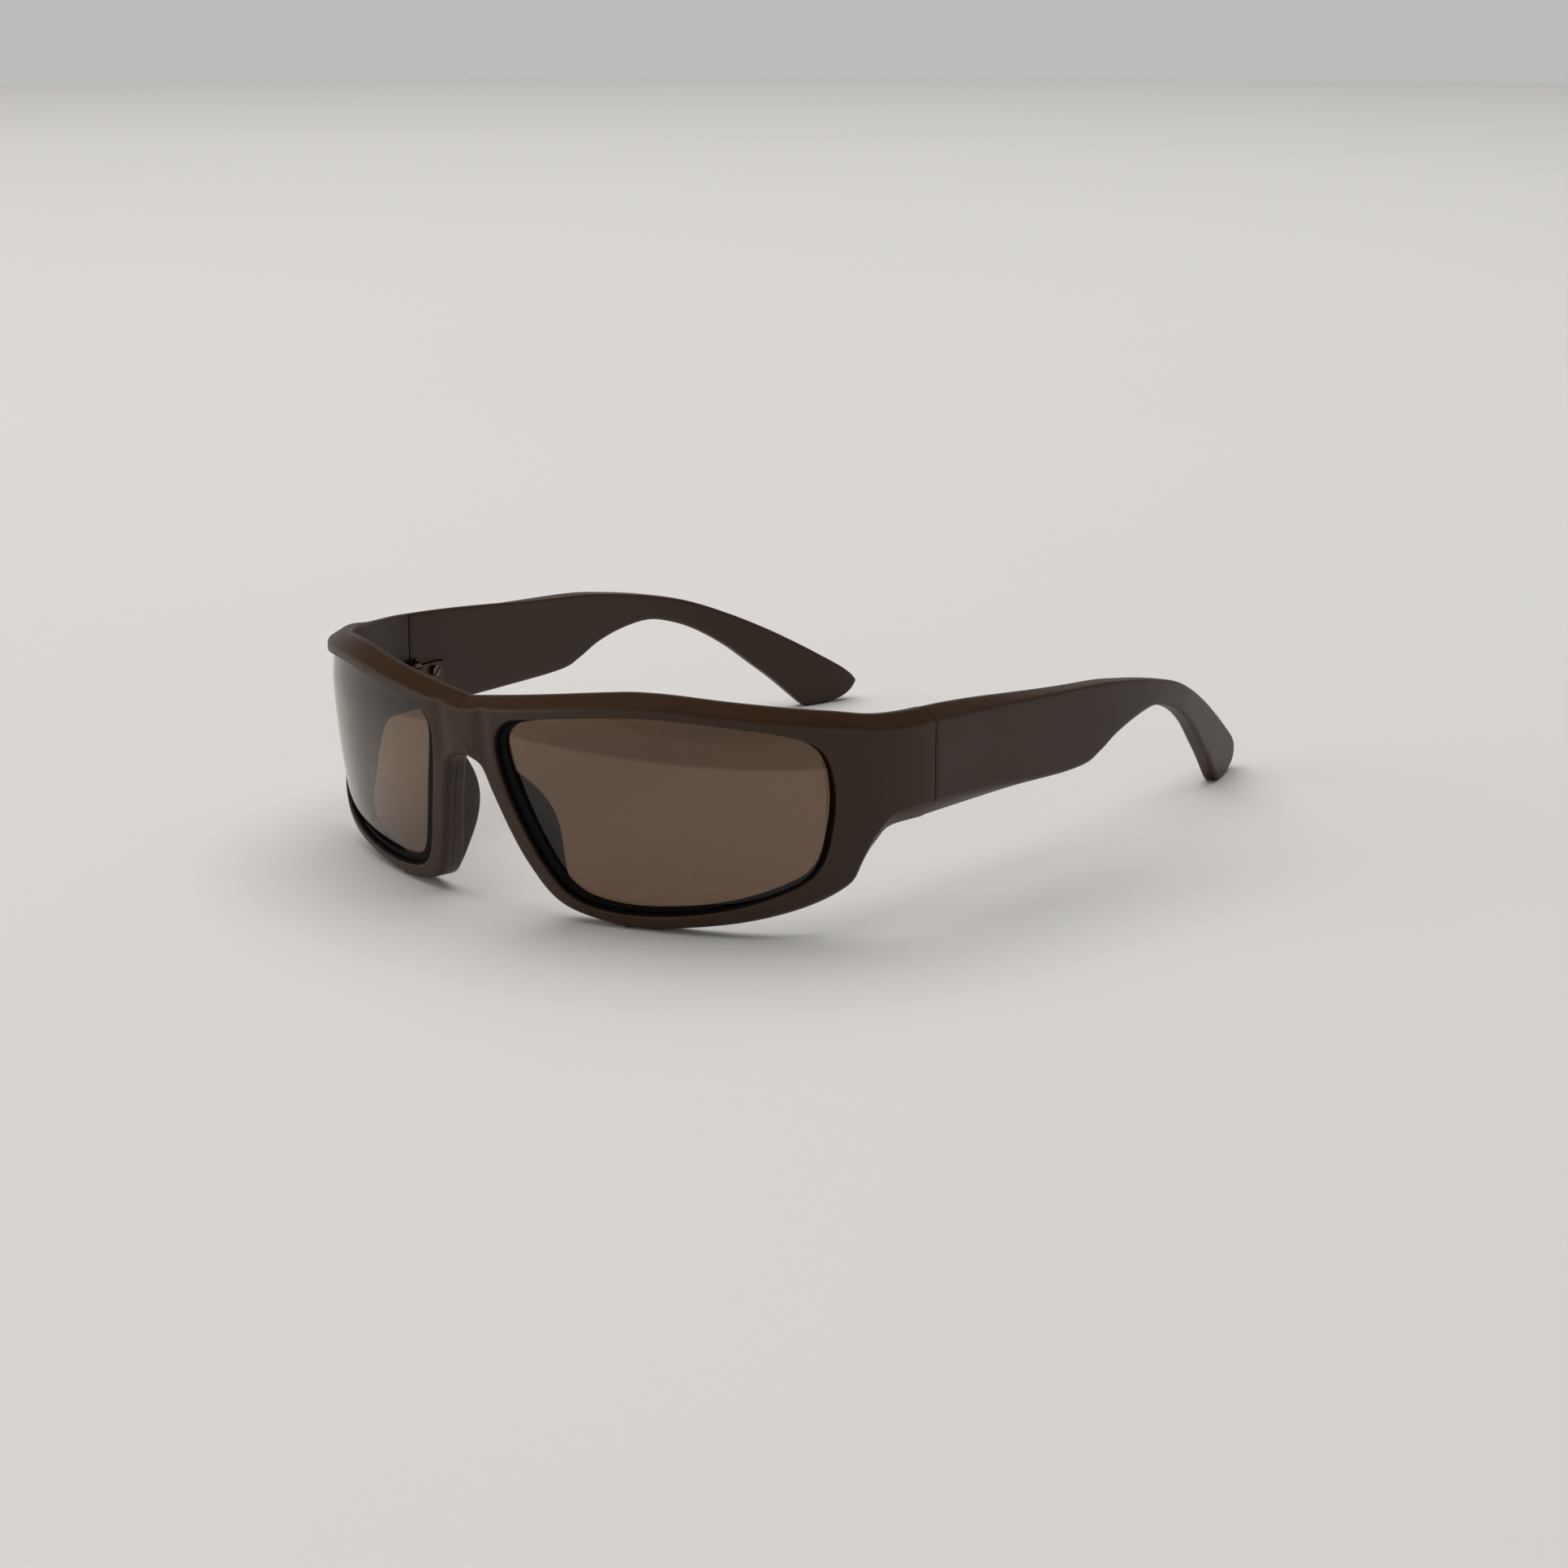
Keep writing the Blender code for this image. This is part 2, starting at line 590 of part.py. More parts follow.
def hinge_space(way):
    """What the hinge takes out of a wall: its leaf's pocket, the barrel's notch and the screw bores."""
    half = BARREL_HEIGHT / 2
    outer = KNUCKLE_RADIUS - LEAF_BACK
    inside = outer - 3 * KNUCKLE_RADIUS
    near, far = sorted((-way * KNUCKLE_RADIUS, way * (LEAF_LENGTH + LEAF_GAP)))
    pocket = box("pocket", at_axis(inside, near, -half - LEAF_GAP),
                 at_axis(outer + LEAF_GAP, far, half + LEAF_GAP))
    notch = cylinder("notch", KNUCKLE_RADIUS + BARREL_GAP, at_axis(0, 0, -half - LEAF_GAP),
                     at_axis(0, 0, half + PIN_GAP + PIN_HEAD_HEIGHT + BARREL_GAP))
    tools = [pocket, notch]
    for height in (-LEAF_SCREW_SPREAD, LEAF_SCREW_SPREAD):
        start, stop = leaf_screw_ends(way, height)
        stop.x += SCREW_GAP
        tools.append(cylinder("screw_bore", LEAF_SCREW_RADIUS + SCREW_GAP, start, stop, 12))
    return tools


def leaf_screw_ends(way, height):
    outer = KNUCKLE_RADIUS - LEAF_BACK
    head = at_axis(outer - LEAF_THICKNESS - SCREW_GAP - LEAF_SCREW_HEAD_HEIGHT, way * LEAF_SCREW_AT, height)
    return head, head + Vector((LEAF_SCREW_HEAD_HEIGHT + LEAF_SCREW_LENGTH, 0, 0))


def make_front():
    """The moulded front: a wrapped plate with two grooved openings, pad seats and hinge pockets."""
    blank = plate("front_blank", [front_outline()], 0, FRONT_THICKNESS)
    tools = [lens_hole(0, -FRONT_THICKNESS, 2 * FRONT_THICKNESS), lens_hole(GROOVE_DEPTH, LIP, GROOVE_TO),
             nose_pad_blank("pad_seat", PAD_GAP)]
    tools += [mirrored(tool) for tool in tools]
    mesh = wrapped(cut_mesh(blank, tools), wrap_front, True)
    space = hinge_space(-1)
    mesh = cut_mesh(mesh, space + [mirrored(tool) for tool in space])
    return add_object("front_frame", mesh, PARTS, BROWN)


def make_optics():
    grow = GROOVE_DEPTH - EDGE_GAP
    lens = lens_hole(grow, LENS_FRONT, LENS_FRONT + LENS_THICKNESS)
    pair("lens", wrapped(lens, wrap_lens), TINT)
    rings = [offset_loop(lens_outline(), grow), offset_loop(lens_outline(), -GASKET_SHOWS)]
    gasket = plate("gasket", rings, GASKET_FROM, GASKET_FROM + GASKET_THICKNESS)
    pair("lens_gasket", wrapped(gasket, wrap_front), RUBBER)
    pair("nose_pad", wrapped(nose_pad_blank("nose_pad", 0), wrap_front), PAD_RUBBER)


def make_temples():
    blank = plate("temple_blank", [temple_outline()], 0, WALL_THICKNESS)
    path = wire_path()
    before = path[0] - Vector((3 * WIRE_FROM, 0, 0))
    after = path[-1] + (path[-1] - path[-2]).normalized() * WIRE_GAP
    bore = rod("wire_bore", [before] + path[1:-1] + [after], WIRE_RADIUS + WIRE_GAP)
    mesh = wrapped(cut_mesh(blank, [bore]), wrap_temple, True)
    pair("temple", cut_mesh(mesh, hinge_space(1)), BROWN)
    wire = rod("temple_core_wire", path, WIRE_RADIUS)
    for vertex in wire.vertices:
        vertex.co = wrap_temple(vertex.co)
    pair("temple_core_wire", wire, STEEL)


def make_hinges():
    hinge_leaf("front_hinge_leaf", -1, (0, 2))
    hinge_leaf("temple_hinge_leaf", 1, (1,))
    half = BARREL_HEIGHT / 2
    top = half + PIN_GAP + PIN_HEAD_HEIGHT
    screw("hinge_screw", at_axis(0, 0, top), at_axis(0, 0, -half + PIN_GAP), PIN_RADIUS, PIN_HEAD_RADIUS,
          PIN_HEAD_HEIGHT)
    for leaf, way in (("front", -1), ("temple", 1)):
        for place, height in (("lower", -LEAF_SCREW_SPREAD), ("upper", LEAF_SCREW_SPREAD)):
            head, tip = leaf_screw_ends(way, height)
            screw(f"{leaf}_leaf_screw_{place}", head, tip, LEAF_SCREW_RADIUS, LEAF_SCREW_HEAD,
                  LEAF_SCREW_HEAD_HEIGHT)


clear_scene()
PARTS = collection("mountain_glasses")
CUTTERS = collection("cutters")
BROWN = material("moulded_brown", (0.045, 0.030, 0.023), 0.5)
PAD_RUBBER = material("pad_rubber", (0.030, 0.020, 0.016), 0.7)
RUBBER = material("gasket_rubber", (0.008, 0.008, 0.008), 0.6)
TINT = material("brown_lens", (0.20, 0.13, 0.08), 0.05, transmission=0.7)
STEEL = material("hinge_steel", (0.55, 0.54, 0.52), 0.35, metallic=1.0)

CREST = smooth_line([tuple(p) for p in upper_edge()], False)
CREST_ALONG = [p.x for p in CREST]
CREST_HEIGHT = [p.y for p in CREST]
TEMPLE_CREST = smooth_line(temple_edges()[0], False)
TEMPLE_ALONG = [p.x for p in TEMPLE_CREST]
TEMPLE_TOP = [p.y for p in TEMPLE_CREST]

make_front()
make_optics()
make_temples()
make_hinges()
for piece in PARTS.objects:
    piece.data.shade_smooth()
    piece.data.set_sharp_from_angle(angle=math.radians(30))
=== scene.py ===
"""Wraparound mountain glasses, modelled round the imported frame.

The front, the temples, the lenses, their gaskets and the nose pads are drawn flat and then wrapped on
the same curves as the frame. In a flat drawing the first number runs along the wall, the second goes in
from its outer face and the third is height. The hinges are the frame's own, with better finishes.
"""

import json
import math

import bmesh
import bpy
import numpy as np
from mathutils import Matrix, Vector


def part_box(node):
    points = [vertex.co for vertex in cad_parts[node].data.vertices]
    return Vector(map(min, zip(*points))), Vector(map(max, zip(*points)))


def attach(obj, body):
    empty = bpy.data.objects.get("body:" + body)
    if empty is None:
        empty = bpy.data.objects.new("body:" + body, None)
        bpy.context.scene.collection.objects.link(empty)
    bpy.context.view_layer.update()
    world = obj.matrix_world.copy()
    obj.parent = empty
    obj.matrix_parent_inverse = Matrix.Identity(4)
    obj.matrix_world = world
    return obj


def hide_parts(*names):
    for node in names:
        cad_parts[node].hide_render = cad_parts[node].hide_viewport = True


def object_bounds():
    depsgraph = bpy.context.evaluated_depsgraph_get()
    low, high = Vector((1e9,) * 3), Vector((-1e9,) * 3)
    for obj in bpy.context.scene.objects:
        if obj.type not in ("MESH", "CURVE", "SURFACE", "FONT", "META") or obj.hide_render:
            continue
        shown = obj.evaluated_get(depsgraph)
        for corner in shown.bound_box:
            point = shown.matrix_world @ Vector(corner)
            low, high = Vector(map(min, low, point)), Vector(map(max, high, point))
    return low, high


MM = 0.001

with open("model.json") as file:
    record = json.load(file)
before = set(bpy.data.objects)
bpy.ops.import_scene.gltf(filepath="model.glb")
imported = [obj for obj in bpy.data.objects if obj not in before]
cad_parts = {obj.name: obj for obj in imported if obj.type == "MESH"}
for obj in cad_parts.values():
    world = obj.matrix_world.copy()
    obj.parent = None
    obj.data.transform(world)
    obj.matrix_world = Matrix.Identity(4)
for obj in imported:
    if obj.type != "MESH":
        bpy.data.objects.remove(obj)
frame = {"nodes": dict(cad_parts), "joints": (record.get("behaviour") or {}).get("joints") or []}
CAD_LOW, CAD_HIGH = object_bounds()
JOINT = {j["name"]: Vector(j["pos_m"]) for j in frame["joints"]}
AXIS = JOINT["temple_left_fold"]

# Overall sizes
HALF_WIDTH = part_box("front_frame")[1].x
FRONT_DEPTH = 50.4 * MM
SHIFT_BACK = AXIS.y
TEMPLE_LENGTH = CAD_HIGH.y - SHIFT_BACK
LEAN_FROM = 38 * MM
LEAN_SLOPE = 0.068
LEAN_RADIUS = 104 * MM

# Lens opening on the unwrapped front: shares of its width and height, clockwise from the nasal top corner
LENS_FROM = 8.0 * MM
LENS_WIDTH = 61.6 * MM
LENS_LOW = 3.5 * MM
LENS_HEIGHT = 36.2 * MM
LENS_SHAPE = (
    (0.005, 0.80), (0.040, 0.905), (0.12, 0.945), (0.31, 0.985), (0.49, 1.0), (0.70, 0.967),
    (0.885, 0.91), (0.972, 0.82), (1.0, 0.64), (0.985, 0.44), (0.945, 0.275), (0.86, 0.175),
    (0.66, 0.065), (0.44, 0.004), (0.27, 0.005), (0.165, 0.07), (0.10, 0.24), (0.032, 0.56),
)

# The front's wall round the opening
RIM_TOP = 2.0 * MM
RIM_BOTTOM = 3.5 * MM
RIM_NASAL = 4.6 * MM
RIM_CORNER = 4.2 * MM
RIM_OUTER = 6.9 * MM
BRIDGE_TOP = 37.8 * MM
BRIDGE_UNDER = 29.4 * MM
FRONT_THICKNESS = 4.7 * MM
REST_LENGTH = 5.0 * MM
WALL_THICKNESS = 4.4 * MM
WALL_TOP = 36.2 * MM
WALL_BOTTOM = 18.6 * MM
TOP_RISE = 1.9 * MM
BOTTOM_RISE = 2.8 * MM
SLOPE_REACH = 4.5 * MM
SLOPE_DEPTH = 3.0 * MM
CREST_SOFTNESS = 0.1  # share of the slope's depth over which its inner edge turns
SEAM_GAP = 0.18 * MM
WALL_START = LENS_FROM + LENS_WIDTH + RIM_CORNER

# Temple
WIDE_END = 45 * MM
NECK_AT = 73 * MM
NECK_TOP = 30.2 * MM
NECK_HEIGHT = 5.2 * MM
TIP_REACH = 56.6
NECK_TOP_SHAPE = ((-23, 3.5), (-11, 2.0), (0, 0))
TIP_TOP_SHAPE = ((11, -2.6), (21, -6.2), (31.5, -10.9), (41, -15.8), (48.5, -20.0), (52.6, -22.4), (55.0, -24.1), (56.2, -25.2))
ARCH_SHAPE = ((6, -4.7), (12, -2.3), (20, -0.5))
TIP_UNDER_SHAPE = (
    (0, 0), (7.8, -1.8), (14.6, -4.5), (21.9, -8.7), (28.4, -13.5), (34.5, -18.1), (39.6, -22.4),
)
TIP_END_SHAPE = ((5.4, 0.40), (3.0, 1.15), (1.2, 2.2), (0.3, 3.2))
TIP_END = 4.2 * MM  # height of the tip's rearmost point
TIP_SHORT = 0.3 * MM
TIP_ROUND = 4.0 * MM
TIP_PINCH = 1.0 * MM
REST_TIP = 3.6 * MM
TIP_THICKNESS = 3.2 * MM
TEMPLE_BOW = 0.8 * MM
CURL_FROM = 50 * MM
CURL_TO = 95 * MM
CURL_SLOPE = 0.30

# What sits in the opening, measured in from the front's outer face
LIP = 0.9 * MM
GASKET_FROM = 1.12 * MM
GASKET_TO = 1.72 * MM
LENS_FRONT = 1.94 * MM
LENS_THICKNESS = 1.7 * MM
LENS_BULGE = 1.5 * MM
GROOVE_TO = 3.86 * MM
GROOVE_DEPTH = 1.3 * MM
GROOVE_REACH = 1.0 * MM  # of the lens and gasket beyond the opening's edge

# Nose pads
PAD_FROM = 2.2 * MM
PAD_THICKNESS = 1.5 * MM
PAD_DEPTH = 8.6 * MM
PAD_END_DEPTH = 3.2 * MM
PAD_LOW = 3.4 * MM
PAD_HIGH = 27.6 * MM
PAD_PEAK = 1.3
PAD_FLARE = 0.33

# Hinge spaces in the walls, as the frame has them
KNUCKLE_RADIUS = 1.7 * MM
BARREL_HALF = 3.75 * MM
PIN_ROOM = 1.5 * MM
LEAF_LENGTH = 9.0 * MM
HINGE_GAP = 0.14 * MM
LEAF_SCREW_AT = 6.2 * MM
LEAF_SCREW_SPREAD = 2.1 * MM
LEAF_OUTER = 1.55 * MM


# ---------------------------------------------------------------- curves and wrapping

def arc_table():
    """Angles round the front's plan ellipse, and the length of wall up to each."""
    angles = np.linspace(0, math.pi / 2, 2001)
    speed = np.hypot(HALF_WIDTH * np.cos(angles), FRONT_DEPTH * np.sin(angles))
    steps = (speed[1:] + speed[:-1]) / 2 * np.diff(angles)
    return angles, np.concatenate([[0], np.cumsum(steps)])


ANGLES, ARCS = arc_table()
WALL_END = float(ARCS[-1]) - SEAM_GAP / 2


def smooth_step(value):
    value = min(max(value, 0.0), 1.0)
    return value * value * (3 - 2 * value)


def curve_at(points, place, closed=False):
    """The point of a Catmull-Rom curve at a place counted in control points."""
    count = len(points)
    index = math.floor(place)
    if not closed:
        index = min(max(index, 0), count - 2)
    f = place - index
    corners = []
    for k in (-1, 0, 1, 2):
        i = (index + k) % count if closed else min(max(index + k, 0), count - 1)
        corners.append(Vector(points[i]))
    a, b, c, d = corners
    return (b * 2 + (c - a) * f + (a * 2 - b * 5 + c * 4 - d) * f * f
            + (b * 3 - a - c * 3 + d) * f ** 3) / 2


LENS_POINTS = [(LENS_FROM + a * LENS_WIDTH, LENS_LOW + b * LENS_HEIGHT) for a, b in LENS_SHAPE]
LENS_COUNT = len(LENS_POINTS)


def opening_at(place, outwards=0.0):
    """The opening's outline at a place, moved outwards."""
    point = curve_at(LENS_POINTS, place, True)
    along = curve_at(LENS_POINTS, place + 0.02, True) - curve_at(LENS_POINTS, place - 0.02, True)
    along.normalize()
    return point + Vector((-along.y, along.x)) * outwards


def rim_point(index, width):
    before = Vector(LENS_POINTS[index - 1])
    along = (Vector(LENS_POINTS[(index + 1) % LENS_COUNT]) - before).normalized()
    return Vector(LENS_POINTS[index]) + Vector((-along.y, along.x)) * width


FOOT = (rim_point(13, RIM_BOTTOM).x + rim_point(14, RIM_BOTTOM).x) / 2
CORNER = rim_point(10, RIM_OUTER)
SWEEP = CORNER + Vector((6.3 * MM, 6.0 * MM))
TOP_LINE = [
    Vector((0, BRIDGE_TOP)), rim_point(3, RIM_TOP), rim_point(4, RIM_TOP), rim_point(5, RIM_TOP),
    Vector((LENS_FROM + LENS_WIDTH, WALL_TOP + 2.1 * MM)), Vector((WALL_END - 12 * MM, WALL_TOP + 0.6 * MM)),
    Vector((WALL_END, WALL_TOP)),
]
NASAL_LINE = [
    Vector((0, BRIDGE_UNDER)), Vector((LENS_FROM - RIM_NASAL, BRIDGE_UNDER - 1.4 * MM)),
    rim_point(17, RIM_NASAL), rim_point(16, RIM_NASAL), rim_point(15, RIM_CORNER),
    Vector((FOOT - REST_LENGTH / 2, 0)),
]
UNDER_LINE = [
    Vector((FOOT + REST_LENGTH / 2, 0)), rim_point(12, RIM_BOTTOM), rim_point(11, RIM_CORNER + 0.4 * MM), CORNER,
    CORNER + Vector((3.3 * MM, 3.2 * MM)), SWEEP, Vector((SWEEP.x + 4.6 * MM, WALL_BOTTOM - 0.3 * MM)),
    Vector((WALL_END, WALL_BOTTOM)),
]
# Places on the opening's outline that face the control points of the outer lines
TOP_FACES = (0.8, 3, 4, 5, 6.35, 6.7, 7.2)
UNDER_FACES = (13.4, 12, 11, 10, 9.75, 9.5, 9.25, 9.0)
NASAL_FACES = (17.9, 17.4, 17, 16, 15, 13.7)

CREST = [curve_at(TOP_LINE, i / 16) for i in range(16 * (len(TOP_LINE) - 1) + 1)]
CREST_ALONG = [p.x for p in CREST]
CREST_HEIGHT = [p.y for p in CREST]
UNDER = [curve_at(UNDER_LINE, 3 + i / 16) for i in range(16 * (len(UNDER_LINE) - 4) + 1)]
UNDER_ALONG = [p.x for p in UNDER]
UNDER_HEIGHT = [p.y for p in UNDER]


def climb(height, top, bottom, inwards, top_share, bottom_share):
    """The height after the top face, and the wall's lower outer edge, are given their slopes."""
    depth = max(inwards / SLOPE_DEPTH, 0.0)
    if depth > 1 + CREST_SOFTNESS:
        depth = 1.0
    elif depth > 1 - CREST_SOFTNESS:
        depth -= (depth - 1 + CREST_SOFTNESS) ** 2 / (4 * CREST_SOFTNESS)
    up = TOP_RISE * depth * smooth_step(1 + (height - top) / SLOPE_REACH)
    lift = BOTTOM_RISE * (1 - depth) * smooth_step(1 - (height - bottom) / SLOPE_REACH)
    return height + up * top_share + lift * bottom_share


def wrap_front(flat):
    """A flat point of the front, put on its curved wall."""
    u, t, z = flat
    side = -1.0 if u < 0 else 1.0
    reach = abs(u)
    angle = float(np.interp(reach, ARCS, ANGLES))
    crest = float(np.interp(reach, CREST_ALONG, CREST_HEIGHT))
    under = float(np.interp(reach, UNDER_ALONG, UNDER_HEIGHT))
    on_wall = smooth_step((reach - CORNER.x) / (SWEEP.x - CORNER.x))
    z = climb(z, crest, under, t, 1, on_wall)
    narrowing = smooth_step((reach - WALL_START) / (WALL_END - WALL_START))
    t *= 1 + (WALL_THICKNESS / FRONT_THICKNESS - 1) * narrowing
    normal = Vector((FRONT_DEPTH * math.sin(angle), -HALF_WIDTH * math.cos(angle))).normalized()
    drop = LEAN_FROM - z
    lean = (LEAN_SLOPE * drop + drop * drop / (2 * LEAN_RADIUS)) * math.cos(angle)
    x = HALF_WIDTH * math.sin(angle) - normal.x * t
    y = lean - FRONT_DEPTH * math.cos(angle) - normal.y * t
    return Vector((side * x, y + SHIFT_BACK, z))


def temple_plan(s):
    """The outer face's distance from the centre plane, and its slope."""
    bow = TEMPLE_BOW * (1 - math.cos(math.pi * min(s / CURL_FROM, 1))) / 2
    curl = min(max(s - CURL_FROM, 0), CURL_TO - CURL_FROM)
    inwards = CURL_SLOPE * (curl * curl / (2 * (CURL_TO - CURL_FROM)) + max(s - CURL_TO, 0))
    return HALF_WIDTH + bow - inwards, -CURL_SLOPE * curl / (CURL_TO - CURL_FROM)


def temple_lines():
    """Control points of a temple's upper and lower edges, from the seam to the tip's rearmost point."""
    start = SEAM_GAP / 2
    end = TEMPLE_LENGTH - TIP_SHORT
    drop = (end - NECK_AT) / TIP_REACH
    under = NECK_TOP - NECK_HEIGHT
    top = [(start, WALL_TOP), (WIDE_END * 0.55, WALL_TOP - 1.1 * MM)]
    top += [(NECK_AT + a * MM, NECK_TOP + b * MM) for a, b in NECK_TOP_SHAPE]
    top += [(NECK_AT + a * drop, NECK_TOP + b * MM) for a, b in TIP_TOP_SHAPE]
    bottom = [(start, WALL_BOTTOM), (WIDE_END * 0.6, WALL_BOTTOM - 0.1 * MM)]
    bottom += [(WIDE_END, WALL_BOTTOM + 0.2 * MM)]
    bottom += [(WIDE_END + a * MM, under + b * MM) for a, b in ARCH_SHAPE]
    bottom += [(NECK_AT + a * drop, under + b * MM) for a, b in TIP_UNDER_SHAPE]
    foot = bottom[-1][0] + 3.0 * MM
    tip = [(foot, 0), (foot + REST_TIP, 0)]
    tip += [(end - a * MM, b * MM) for a, b in TIP_END_SHAPE] + [(end, TIP_END)]
    return top + [(end, TIP_END)], bottom, tip


def table_of(points):
    """A smooth line through the points, as two lists for interpolation."""
    line = [curve_at(points, i / 8) for i in range(8 * (len(points) - 1) + 1)]
    return [p[0] for p in line], [p[1] for p in line]


TOP_POINTS, BOTTOM_POINTS, TIP_POINTS = temple_lines()
TEMPLE_TOP = table_of(TOP_POINTS)
BOTTOM_PART, TIP_PART = table_of(BOTTOM_POINTS), table_of(TIP_POINTS)
TEMPLE_BOTTOM = (BOTTOM_PART[0] + TIP_PART[0], BOTTOM_PART[1] + TIP_PART[1])


def wrap_temple(flat):
    """A flat point of the left temple, put in its place."""
    s, t, z = flat
    x, slope = temple_plan(s)
    fade = 1 - smooth_step(s / CURL_FROM)
    top = float(np.interp(s, *TEMPLE_TOP))
    z = climb(z, top, float(np.interp(s, *TEMPLE_BOTTOM)), t, fade, fade)
    t *= 1 + (TIP_THICKNESS / WALL_THICKNESS - 1) * smooth_step((s - CURL_FROM) / (CURL_TO - CURL_FROM))
    normal = Vector((1, -slope)).normalized()
    return Vector((x - normal.x * t, s - normal.y * t + SHIFT_BACK, z))


# ---------------------------------------------------------------- modelling tools

def take_only(piece):
    """Deselects everything else."""
    if bpy.context.mode != "OBJECT":
        bpy.ops.object.mode_set(mode="OBJECT")
    bpy.ops.object.select_all(action="DESELECT")
    piece.select_set(True)
    bpy.context.view_layer.objects.active = piece


def added(name):
    """The object that a primitive operator has just added, named and alone in the selection."""
    piece = bpy.context.object
    piece.name = name
    piece.data.name = name
    take_only(piece)
    return piece


def loft(name, rings, closed=False):
    """A skin over rings of points. A circle is moved onto the first ring, and each further ring is
    extruded from the one before and moved into place. A closed loft ends where it starts, and an open
    one has its two ends filled."""
    bpy.ops.object.select_all(action="DESELECT")
    bpy.ops.mesh.primitive_circle_add(vertices=len(rings[0]), radius=MM)
    piece = added(name)
    bpy.ops.object.mode_set(mode="EDIT")
    mesh = bmesh.from_edit_mesh(piece.data)
    order = mesh.verts.layers.int.new("order")
    for i, vertex in enumerate(mesh.verts):
        vertex[order] = i
        vertex.co = rings[0][i]
    for ring in rings[1:] + (rings[:1] if closed else []):
        bpy.ops.mesh.extrude_edges_move()
        mesh = bmesh.from_edit_mesh(piece.data)
        order = mesh.verts.layers.int["order"]
        for vertex in mesh.verts:
            if vertex.select:
                vertex.co = ring[vertex[order]]
    bpy.ops.mesh.select_all(action="SELECT")
    if closed:
        bpy.ops.mesh.remove_doubles(threshold=0.002 * MM)
    else:
        bpy.ops.mesh.fill_holes(sides=0)
    bpy.ops.mesh.select_all(action="SELECT")
    bpy.ops.mesh.normals_make_consistent(inside=False)
    bpy.ops.object.mode_set(mode="OBJECT")
    return piece


def shaped(piece, wrap):
    """Every vertex moved from the flat drawing to its place."""
    for vertex in piece.data.vertices:
        vertex.co = wrap(vertex.co)
    piece.data.update()
    return piece


def tidied(piece):
    """Doubles merged and faces turned outwards."""
    take_only(piece)
    bpy.ops.object.mode_set(mode="EDIT")
    bpy.ops.mesh.select_all(action="SELECT")
    bpy.ops.mesh.remove_doubles(threshold=0.002 * MM)
    bpy.ops.mesh.normals_make_consistent(inside=False)
    bpy.ops.object.mode_set(mode="OBJECT")
    return piece


def apply_modifier(piece, kind, **values):
    take_only(piece)
    modifier = piece.modifiers.new(kind.title(), kind)
    for key, value in values.items():
        setattr(modifier, key, value)
    bpy.ops.object.modifier_apply(modifier=modifier.name)
    return piece


def cut_away(piece, tools):
    """The tools' shapes taken out of the piece, one after the other."""
    for tool in tools:
        apply_modifier(piece, "BOOLEAN", operation="DIFFERENCE", solver="EXACT", object=tool)
        bpy.data.objects.remove(tool, do_unlink=True)
    return piece


def block(name, low, high):
    """A cube primitive between two corners."""
    low, high = Vector(low), Vector(high)
    bpy.ops.object.select_all(action="DESELECT")
    bpy.ops.mesh.primitive_cube_add(size=1, location=(low + high) / 2)
    piece = added(name)
    bpy.ops.transform.resize(value=high - low)
    bpy.ops.object.transform_apply(location=True, rotation=True, scale=True)
    return piece


def rod(name, radius, low, high, turn=(0, 0, 0)):
    """A cylinder primitive between two points, along Z before its turn."""
    low, high = Vector(low), Vector(high)
    bpy.ops.object.select_all(action="DESELECT")
    bpy.ops.mesh.primitive_cylinder_add(vertices=48, radius=radius, depth=(high - low).length,
                                        location=(low + high) / 2, rotation=turn)
    piece = added(name)
    bpy.ops.object.transform_apply(location=True, rotation=True, scale=True)
    return piece


def finish_piece(piece, body, finish, nodes, angle=35):
    """The piece's material, shading and place in the frame."""
    take_only(piece)
    bpy.ops.object.shade_smooth_by_angle(angle=math.radians(angle))
    piece.data.materials.clear()
    piece.data.materials.append(finish)
    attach(piece, body)
    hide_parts(*nodes)
    return piece


def other_side(piece, name):
    """A mirror image across the centre plane, with its own mesh."""
    take_only(piece)
    bpy.ops.object.duplicate()
    copy = added(name)
    bpy.ops.object.mode_set(mode="EDIT")
    bpy.ops.mesh.select_all(action="SELECT")
    bpy.ops.transform.resize(value=(-1, 1, 1), center_override=(0, 0, 0))
    bpy.ops.mesh.normals_make_consistent(inside=False)
    bpy.ops.object.mode_set(mode="OBJECT")
    return copy


# ---------------------------------------------------------------- finishes

def node_group(name, inputs, outputs):
    group = bpy.data.node_groups.new(name, "ShaderNodeTree")
    for socket, kind, value in inputs:
        made = group.interface.new_socket(name=socket, in_out="INPUT", socket_type=kind)
        made.default_value = value
    for socket, kind in outputs:
        group.interface.new_socket(name=socket, in_out="OUTPUT", socket_type=kind)
    return group, group.nodes.new("NodeGroupInput"), group.nodes.new("NodeGroupOutput")


def math_node(tree, operation, first, second):
    """A Math node with two inputs, each a socket or a number."""
    made = tree.nodes.new("ShaderNodeMath")
    made.operation = operation
    for socket, value in zip(made.inputs, (first, second)):
        if isinstance(value, (int, float)):
            socket.default_value = value
        else:
            tree.links.new(value, socket)
    return made.outputs[0]


def noise_node(tree, place, scale, detail=3.0, roughness=0.55):
    made = tree.nodes.new("ShaderNodeTexNoise")
    made.inputs["Detail"].default_value = detail
    made.inputs["Roughness"].default_value = roughness
    if isinstance(scale, (int, float)):
        made.inputs["Scale"].default_value = scale
    else:
        tree.links.new(scale, made.inputs["Scale"])
    tree.links.new(place, made.inputs["Vector"])
    return made.outputs["Fac"]


def object_place(tree):
    return tree.nodes.new("ShaderNodeTexCoord").outputs["Object"]


